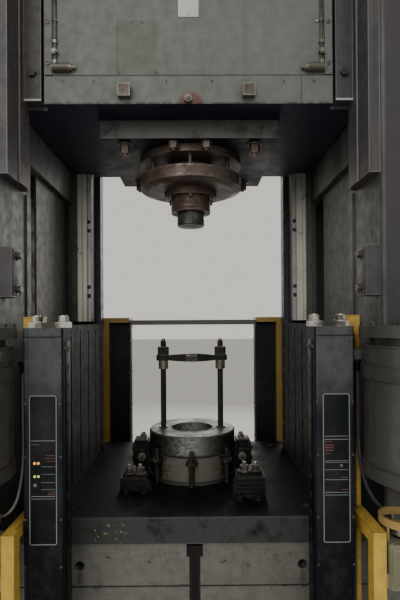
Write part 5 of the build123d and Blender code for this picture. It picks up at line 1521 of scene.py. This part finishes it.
class BracketDetail(Detail):
    """Bright washers and cap nuts on the curtains' brackets, caps and feet of the posts.

    Attributes:
        top: Z of the brackets' top.
        posts: Left and right side and Y of each post; the first two carry a cap.
    """

    top = 1196.0
    posts = ((-386, -344, -409), (356, 398, -409), (-382, -354, -549), (373, 401, -549))

    def shape(self) -> None:
        """Shape the pieces."""
        nuts = self.piece("bracket_cap_nuts", "bolt_bright")
        for sign, x in product(BOTH, (288, 348)):
            nuts.ring((sign * x, -443, self.top), UP, 15, 6, 2.5)
            cap = [(8, 0), (7.6, 2.2), (4.0, 3.4)]
            nuts.lathe((sign * x, -443, self.top + 13.6), UP, cap, 20)
        caps = self.piece("post_caps", "yellow_paint", "safety_yellow")
        feet = self.piece("post_feet", "yellow_paint", "safety_yellow")
        bolts = self.piece("post_foot_bolts", "bolt_worn")
        for low, high, y in self.posts[:2]:
            caps.block((low - 1, y - 20, 1206), (high + 1, y + 20, 1209.5), 1.0)
        for low, high, y in self.posts:
            middle = (low + high) / 2
            feet.block((middle - 38, y - 30, 0), (middle + 38, y + 30, 8), 1.2)
            for x in (middle - 29, middle + 29):
                bolts.ring((x, y, 8), UP, 8.5, 4, 1.6)
                bolts.nut((x, y, 9.6), UP, 13, 7, 12)


class GuardDetail(Detail):
    """Folded edges, stiffening ribs, rubber edges, rivets and bolts of the side guards.

    Attributes:
        sheet: Distance of the guards' inner faces from the middle.
        front: Y of their front edges.
        rear: Y of their rear edges.
        low: Z of the foot.
        high: Z of the top.
    """

    sheet = 350.0
    front = -345.0
    rear = 255.0
    low = 710.0
    high = 1188.0

    def shape(self) -> None:
        """Shape the pieces."""
        hems = [(y, 14, 4, 4, 2.2, 0.9) for y in (self.front, self.rear - 14)]
        hems += [(y, 11, 14, 16, 1.6, 0.7) for y in (-265, -160, -55, 50, 155)]
        for side in Side:
            name, sign = side.name.lower(), side.value
            ribs = self.piece(f"guard_ribs_{name}", "guard_sheet", "guard_sheet")
            for y, width, foot, head, thick, edge in hems:
                corner = (sign * (self.sheet - thick), y + width, self.high - head)
                ribs.block((sign * self.sheet, y, self.low + foot), corner, edge)
            rubber = self.piece(f"guard_edge_rubber_{name}", "edge_rubber", "guard_sheet")
            corner = (sign * (self.sheet + 3), self.rear + 33, self.high - 2)
            rubber.block((sign * self.sheet, self.rear - 6, self.low + 2), corner, 0.8)
            rivets = self.piece(f"guard_rivets_{name}", "bolt_worn")
            x, rivet = sign * (self.sheet - 2.2), [(3.2, 0), (2.9, 0.9), (1.4, 1.5)]
            for step, y in product(range(7), (self.front + 7, self.rear - 7)):
                rivets.lathe((x, y, self.low + 30 + 68 * step), (-sign, 0, 0), rivet, 12)
            for y in (-300, -120, 60, 220):
                rivets.ring((sign * 364, y, self.low + 3), UP, 8, 4, 1.4)
                rivets.nut((sign * 364, y, self.low + 4.4), UP, 12, 6, 15)


class DieDetail(Detail):
    """Clamps, studs, washers and marks of the lower die and its yoke.

    Attributes:
        bolster: Z of the bolster's top.
        seat: Z of the top ring's underside.
        top: Z of its top.
    """

    bolster = 710.0
    seat = 788.0
    top = 852.0

    def shape(self) -> None:
        """Shape the pieces."""
        self._side_clamps()
        forms = [
            self.piece(f"toe_clamp_{kind}", finish, "dark_steel")
            for kind, finish in (
                ("teeth", "black_steel"), ("straps", "black_steel"),
                ("nuts", "bolt_capped"), ("studs", "bolt_worn"),
            )
        ]
        self._toe_clamp(*forms, -1, -161, -176, 45, 36)
        self._toe_clamp(*forms, 1, 159, -236, 76, 56)
        self._ring_marks()
        self._yoke()

    def _side_clamps(self) -> None:
        """Shape a strap over each side of the seat, held by nuts on its two stems."""
        straps = self.piece("side_clamp_straps", "black_steel", "dark_steel")
        nuts = self.piece("side_clamp_nuts", "bolt_worn", "dark_steel")
        screws = self.piece("side_clamp_screws", "bolt_dark", "dark_steel")
        for sign in BOTH:
            x = sign * 160
            straps.block((sign * 142, -31, 811), (sign * 186, 31, 817), 1.5)
            straps.block((sign * 182, -22, 734), (sign * 191, 22, 806), 2.2)
            straps.block((sign * 150, -33, 742), (sign * 180, -25, 790), 2.0)
            for y in (-12.5, 12.5):
                nuts.ring((x, y, 817), UP, 11, 6.2, 2.2)
                nuts.nut((x, y, 819.2), UP, 18, 9, 10 + 20 * sign)
            nuts.ring((x, -33, 765), FRONT, 13, 7.5, 3.2)
            nuts.nut((x, -36.2, 765), FRONT, 19, 9, 8)
            screws.lathe((x, -45, 765), FRONT, [(5, 0), (5, 4), (4, 5.2)], 16)
            for z in (786, 752):
                screws.cap_screw((sign * 191, 0, z), (sign, 0, 0), 7, 6)

    def _toe_clamp(
        self, teeth: Form, straps: Form, nuts: Form, studs: Form,
        sign: int, x: float, front: float, depth: float, height: float,
    ) -> None:
        """Shape a toothed heel block with its strap, studs and nuts.

        Args:
            teeth: Form of the teeth and foot screws.
            straps: Form of the straps.
            nuts: Form of the nuts.
            studs: Form of the studs.
            sign: Side of the press.
            x: X of the block's middle.
            front: Y of its front.
            depth: Its depth.
            height: Its height.
        """
        rear, outer, top = front + depth, x + sign * 44, self.bolster + height
        for step in range(7):
            z = self.bolster + 3 + step * (height - 6) / 6
            corner = (outer + sign * 3.2, rear - 5, z + 1.6)
            teeth.block((outer, front + 5, z - 1.6), corner, 0.5)
        for step in range(6):
            y = front + 4 + step * (depth - 8) / 5
            corner = (x + sign * 40, y + 1.5, top + 1.4)
            teeth.block((x - sign * 30, y - 1.5, top), corner, 0.4)
        middle, low = (front + rear) / 2, top + 9
        corner = (x - sign * 34, middle + 14, low)
        straps.block((x + sign * 40, middle - 14, top + 1.4), corner, 2.4)
        for offset, back, across, rise in ((22, 0, 19, 12), (-11, depth / 8, 22, 15)):
            px, py = x + sign * offset, middle - back
            nuts.ring((px, py, low), UP, 15, 6, 2.6)
            nuts.nut((px, py, low + 2.6), UP, across, rise, 17 * offset % 60)
            studs.lathe((px, py, low + 2), UP, [(6, 0), (6, rise + 8), (5, rise + 9.5)], 16)
        for step in range(5):
            z = self.bolster + 5 + step * (height - 9) / 4
            teeth.block((x - 36, front - 1.8, z - 1.7), (x + 36, front, z + 1.7), 0.5)
        for offset in (-26, 24):
            px, py = x + offset, front - 13
            teeth.ring((px, py, self.bolster), UP, 11, 5, 2.4)
            teeth.nut((px, py, self.bolster + 2.4), UP, 17, 9, 21 + offset)
            teeth.lathe((px, py, self.bolster), UP, [(5, 0), (5, 17), (4.2, 18)], 14)

    def _ring_marks(self) -> None:
        """Shape screws in the ring's face, the studs' nuts and domes, and the ring's lips."""
        screws = self.piece("ring_screws", "bolt_bright", "die_steel")
        for x in (27, 48):
            screws.cap_screw((x, -119, self.top - 5.2), UP, 5.4, 4.6)
        studs = self.piece("stud_nuts", "black_steel", "dark_steel")
        for angle in (270, 315, 45, 90, 135, 225):
            turn = math.radians(angle)
            x, y = 150 * math.cos(turn), 150 * math.sin(turn)
            studs.nut((x, y, 781), UP, 20.4, 15.5, angle + 11)
            studs.lathe((x, y, 812), UP, [(7, 0), (5.8, 1.6)], 16)
        lips = self.piece("ring_lips", "die_steel", "die_steel")
        lips.ring((0, 0, self.seat - 1.2), UP, 138.8, 134, 3.0)
        lips.ring((0, 0, self.top - 3.0), UP, 71, 67.2, 3.8)

    def _yoke(self) -> None:
        """Shape washers, sleeves and square ends of the yoke's rods, and its bar's flat."""
        washers = self.piece("yoke_fittings", "bolt_dark", "dark_steel")
        tips = self.piece("yoke_tips", "bolt_worn", "dark_steel")
        for x in (-93, 93):
            washers.ring((x, 0, 1088), UP, 20, 9.3, 2.4)
            washers.lathe((x, 0, 1114), UP, [(15.8, 0), (15.2, 1.4), (9.2, 1.6)], 28)
            tips.lathe((x, 0, 1135), UP, [(6.5, 0), (6.5, 5), (5.6, 6.5)], 4, turn=20)
            washers.ring((x, 0, self.top), UP, 15, 9.4, 3.4)
            tips.ring((x, 0, 1043.4), UP, 15.7, 14.2, 26.6)
        flat = self.piece("yoke_flat", "bolt_dark", "dark_steel")
        flat.block((-16, -17.5, 1070), (16, -16.8, 1089), 0.2)


class GibDetail(Detail):
    """Rest blocks under the rear gibs and bars, screwed to the uprights.

    Attributes:
        foot: Z of the rear gibs' lower ends.
    """

    foot = 1200.0

    def shape(self) -> None:
        """Shape the pieces."""
        rests = self.piece("gib_rests", "gib_rest_steel", "bolster_steel")
        screws = self.piece("gib_rest_screws", "screw_black")
        for sign in BOTH:
            for x, front, rear in ((388, 303, 335), (369, 336, 387)):
                corner = (sign * 463, rear, self.foot)
                rests.block((sign * x, front, self.foot - 24), corner, 1.2)
            for x in (404, 446):
                screws.cap_screw((sign * x, 303, self.foot - 12), FRONT, 5, 3)


class LimitDetail(Detail):
    """Lids, screws and roller caps of the limit switch boxes.

    Attributes:
        lid: Distance of a lid's face from the middle.
    """

    lid = 426.2

    def shape(self) -> None:
        """Shape the pieces."""
        lids = self.piece("limit_lids", "box_paint", "press_green_grey")
        screws = self.piece("limit_screws", "bolt_dark")
        for sign in BOTH:
            x, inward = sign * self.lid, (-sign, 0, 0)
            lids.block((sign * 428, -386, 1262), (x, -334, 1377), 0.8)
            for y, z in product((-380, -340), (1268, 1371)):
                screws.cap_screw((x, y, z), inward, 3.2, 1.6)
            for z in (1278, 1361):
                screws.ring((x, -360, z), inward, 12, 8.8, 2)
                cap = [(8.2, 0), (7.4, 1.4), (3, 1.8)]
                screws.lathe((sign * 416, -360, z), inward, cap, 20)


class StationDetail(Detail):
    """Bezels, lids and screws of the palm button stations.

    Attributes:
        across: Distance of a station's middle from the press's.
        depth: Y of its middle.
        top: Z of its top.
    """

    across = 446.0
    depth = -530.0
    top = 742.0

    def shape(self) -> None:
        """Shape the pieces."""
        bezels = self.piece("button_bezels", "bolt_bright", "button_chrome")
        lids = self.piece("station_lids", "station_paint", "station_paint")
        screws = self.piece("station_screws", "bolt_worn")
        for sign in BOTH:
            x = sign * self.across
            bezels.ring((x, self.depth, self.top), UP, 22, 11.5, 1.6)
            lids.block((x - 35, -573.4, 660), (x + 35, -571.8, 734), 0.7)
            for dx, dy in product((-35, 35), (-35, 35)):
                screws.cap_screw((x + dx, self.depth + dy, self.top), UP, 3.2, 1.4)
            for dx, z in product((-30, 30), (665, 729)):
                screws.lathe((x + dx, -573.4, z), FRONT, [(3, 0), (2.7, 0.8), (1.3, 1.3)], 12)
            for dx in (-14, 14):
                screws.cap_screw((sign * 472 + dx, -438, 659), REAR, 2.8, 1.4)


class TankDetail(Detail):
    """Weld seams, flange bolts, side plug and strap lugs of the air tanks.

    Attributes:
        across: Distance of a tank's axis from the middle.
        depth: Y of its axis.
        radius: Radius of its shell.
        lid: Z of its lid.
    """

    across = 502.0
    depth = -544.0
    radius = 130.0
    lid = 1186

    def shape(self) -> None:
        """Shape the pieces."""
        seams = self.piece("tank_seams", "tank_paint", "tank_paint")
        bolts = self.piece("tank_bolts", "strap_paint")
        lugs = self.piece("strap_lugs", "strap_paint")
        for sign in BOTH:
            x, y = sign * self.across, self.depth
            circle = around(72, self.radius + 0.4, extra=1)
            for z in (880, 1144):
                seams.tube([(x + dx, y + dy, z) for dx, dy in circle], 2.1, 7, 0.3)
            for step, (dx, dy) in enumerate(around(10, 128, 0.5)):
                bolts.nut((x + dx, y + dy, self.lid), UP, 15, 8, 12 * step)
            bolts.ring((x, y, self.lid), UP, 27, 17.2, 12)
            outer = x + sign * 134
            for z in (888, 1090):
                for dy in (-11, 11):
                    corner = (outer + sign * 17, y + dy + 2.5, z + 12)
                    lugs.block((outer - sign * 3, y + dy - 2.5, z - 12), corner, 1.0)
                for dy, axis in ((-13.5, FRONT), (13.5, REAR)):
                    bolts.nut((outer + sign * 8, y + dy, z), axis, 11, 6)
        aslant = (0.957, -0.29, 0)
        bolts.ring((-378.5, -581, 1128), aslant, 17, 10, 5)
        bolts.nut((-376, -581.8, 1128), aslant, 19, 12)


class CrownDetail(Detail):
    """Lifting eyes on the crown, handles of its cover and the brake housing's bolts.

    Attributes:
        top: Z of the crown's top.
        shaft: X and Z of the pinion shaft.
    """

    top = 3340.0
    shaft = (239.0, 3041.6)

    def shape(self) -> None:
        """Shape the pieces."""
        eyes = self.piece("crown_eyes", "bolt_dark")
        for x, y in ((-190, -250), (230, -250), (-190, 250), (230, 250)):
            eyes.ring((x, y, self.top), UP, 30, 12, 9)
            circle = around(32, 1.0, extra=1)
            eyes.tube([(x + 25 * c, y, self.top + 40 + 27 * s) for c, s in circle], 8, 12)
        handles = self.piece("cover_handles", "bolt_dark")
        bow = (
            (411, 2715), (436, 2716), (445, 2724), (447, 2740),
            (447, 2820), (445, 2836), (436, 2844), (411, 2845),
        )
        for x in (-498, -2):
            handles.tube([(x, -out, z) for out, z in bow], 6, 12)
            for z in (2715, 2845):
                handles.ring((x, -412, z), FRONT, 12, 6, 4)
        bolts = self.piece("brake_bolts", "bolt_worn")
        x, z = self.shaft
        for dx, dz in around(8, 118, 0.5):
            bolts.cap_screw((x + dx, -490, z + dz), FRONT, 9, 8)
        bolts.ring((x, -490, z), FRONT, 62, 40, 7)
        bolts.lathe((x, -490, z), FRONT, [(38, 0), (38, 9), (30, 14), (8, 15)], 36)


class DriveDetail(Detail):
    """Fins, fan cover and terminal box of the motor, and the flywheel's hub bolts.

    Attributes:
        axis: X and Z of the motor's axis.
        radius: Radius of its barrel.
        hub: X and Z of the flywheel's axis.
    """

    axis = (-400.0, 3505.0)
    radius = 130.0
    hub = (239.0, 3041.6)

    def shape(self) -> None:
        """Shape the pieces."""
        x, z = self.axis
        fins = self.piece("motor_fins", "motor_paint", "motor_paint")
        parts, reach = (0.0, 0.04, 0.5, 0.96, 1.0), self.radius + 2
        for c, s in around(40, 1.0):
            if -0.6 <= s <= 0.92:
                line = [(x + reach * c, 75 + 250 * part, z + reach * s) for part in parts]
                fins.tube(line, 3.2, 6)
        cover = self.piece("motor_fan_cover", "motor_paint", "motor_paint")
        hood = [(129, 0), (129, 34), (122, 46), (102, 52), (44, 53), (40, 50), (14, 50)]
        cover.lathe((x, 32, z), FRONT, hood, 56)
        for radius in (96, 84, 72, 60):
            cover.ring((x, -20.6, z), FRONT, radius, radius - 5, 2)
        box = self.piece("motor_terminal_box", "motor_paint", "motor_paint")
        box.block((x - 176, 130, z - 44), (x - 124, 250, z + 44), 5)
        box.block((x - 182, 126, z - 48), (x - 175, 254, z + 48), 2.5)
        screws = self.piece("motor_screws", "bolt_worn")
        for y, dz in product((134, 246), (-40, 40)):
            screws.cap_screw((x - 182, y, z + dz), (-1, 0, 0), 4, 2.4)
        for dx, y in product((-108, 108), (115, 285)):
            screws.nut((x + dx, y, 3380), UP, 22, 11)
        x, z = self.hub
        bolts = self.piece("flywheel_hub_bolts", "bolt_dark", body="flywheel")
        for step, (dx, dz) in enumerate(around(6, 76)):
            bolts.ring((x + dx, 620, z + dz), REAR, 15, 7, 2)
            bolts.nut((x + dx, 622, z + dz), REAR, 22, 10, 14 * step)


class ShutterDetail(Detail):
    """Stiffening ribs and pull screws of the shutters, and screws of their tracks."""

    def shape(self) -> None:
        """Shape the pieces."""
        for side, front in ((Side.LEFT, -62.0), (Side.RIGHT, -180.0)):
            name, sign = side.name.lower(), side.value
            body, face, back = f"shutter_{name}", sign * 490, sign * 494.5
            ribs = self.piece(f"shutter_ribs_{name}", "shutter_paint", "guard_sheet", body)
            for y in (front + 22, front + 318):
                ribs.block((face, y, 912), (back, y + 12, 1642), 1.0)
            for z in (1020, 1270):
                ribs.block((face, front + 34, z), (back, front + 318, z + 12), 1.0)
            pulls = self.piece(f"shutter_pull_{name}", "bolt_worn", "guard_sheet", body)
            for z in (1555, 1465):
                pulls.ring((face, front + 175, z), (sign, 0, 0), 11, 5, 4)
        screws = self.piece("track_screws", "bolt_worn")
        for sign, y, z in product(BOTH, (-330, -198, -66, 66, 198, 330), (883, 1672)):
            screws.cap_screw((sign * 494.2, y, z), (sign, 0, 0), 4, 2.6)


DETAILS = (
    SlideFront, PunchDetail, CurtainDetail, BracketDetail, GuardDetail, DieDetail, GibDetail,
    LimitDetail, StationDetail, TankDetail, CrownDetail, DriveDetail, ShutterDetail,
)


def main(frame: dict) -> None:
    """Build the scene in order.

    Args:
        frame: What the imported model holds.
    """
    PhotoCamera().build()
    Studio().build()
    for cable in CABLES:
        cable.build()
    made = dress(frame["nodes"])
    for detail in DETAILS:
        detail(made).build()


if __name__ == "__main__":
    logging.basicConfig(level=logging.INFO, format="%(name)s: %(message)s")
    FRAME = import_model()
    main(FRAME)
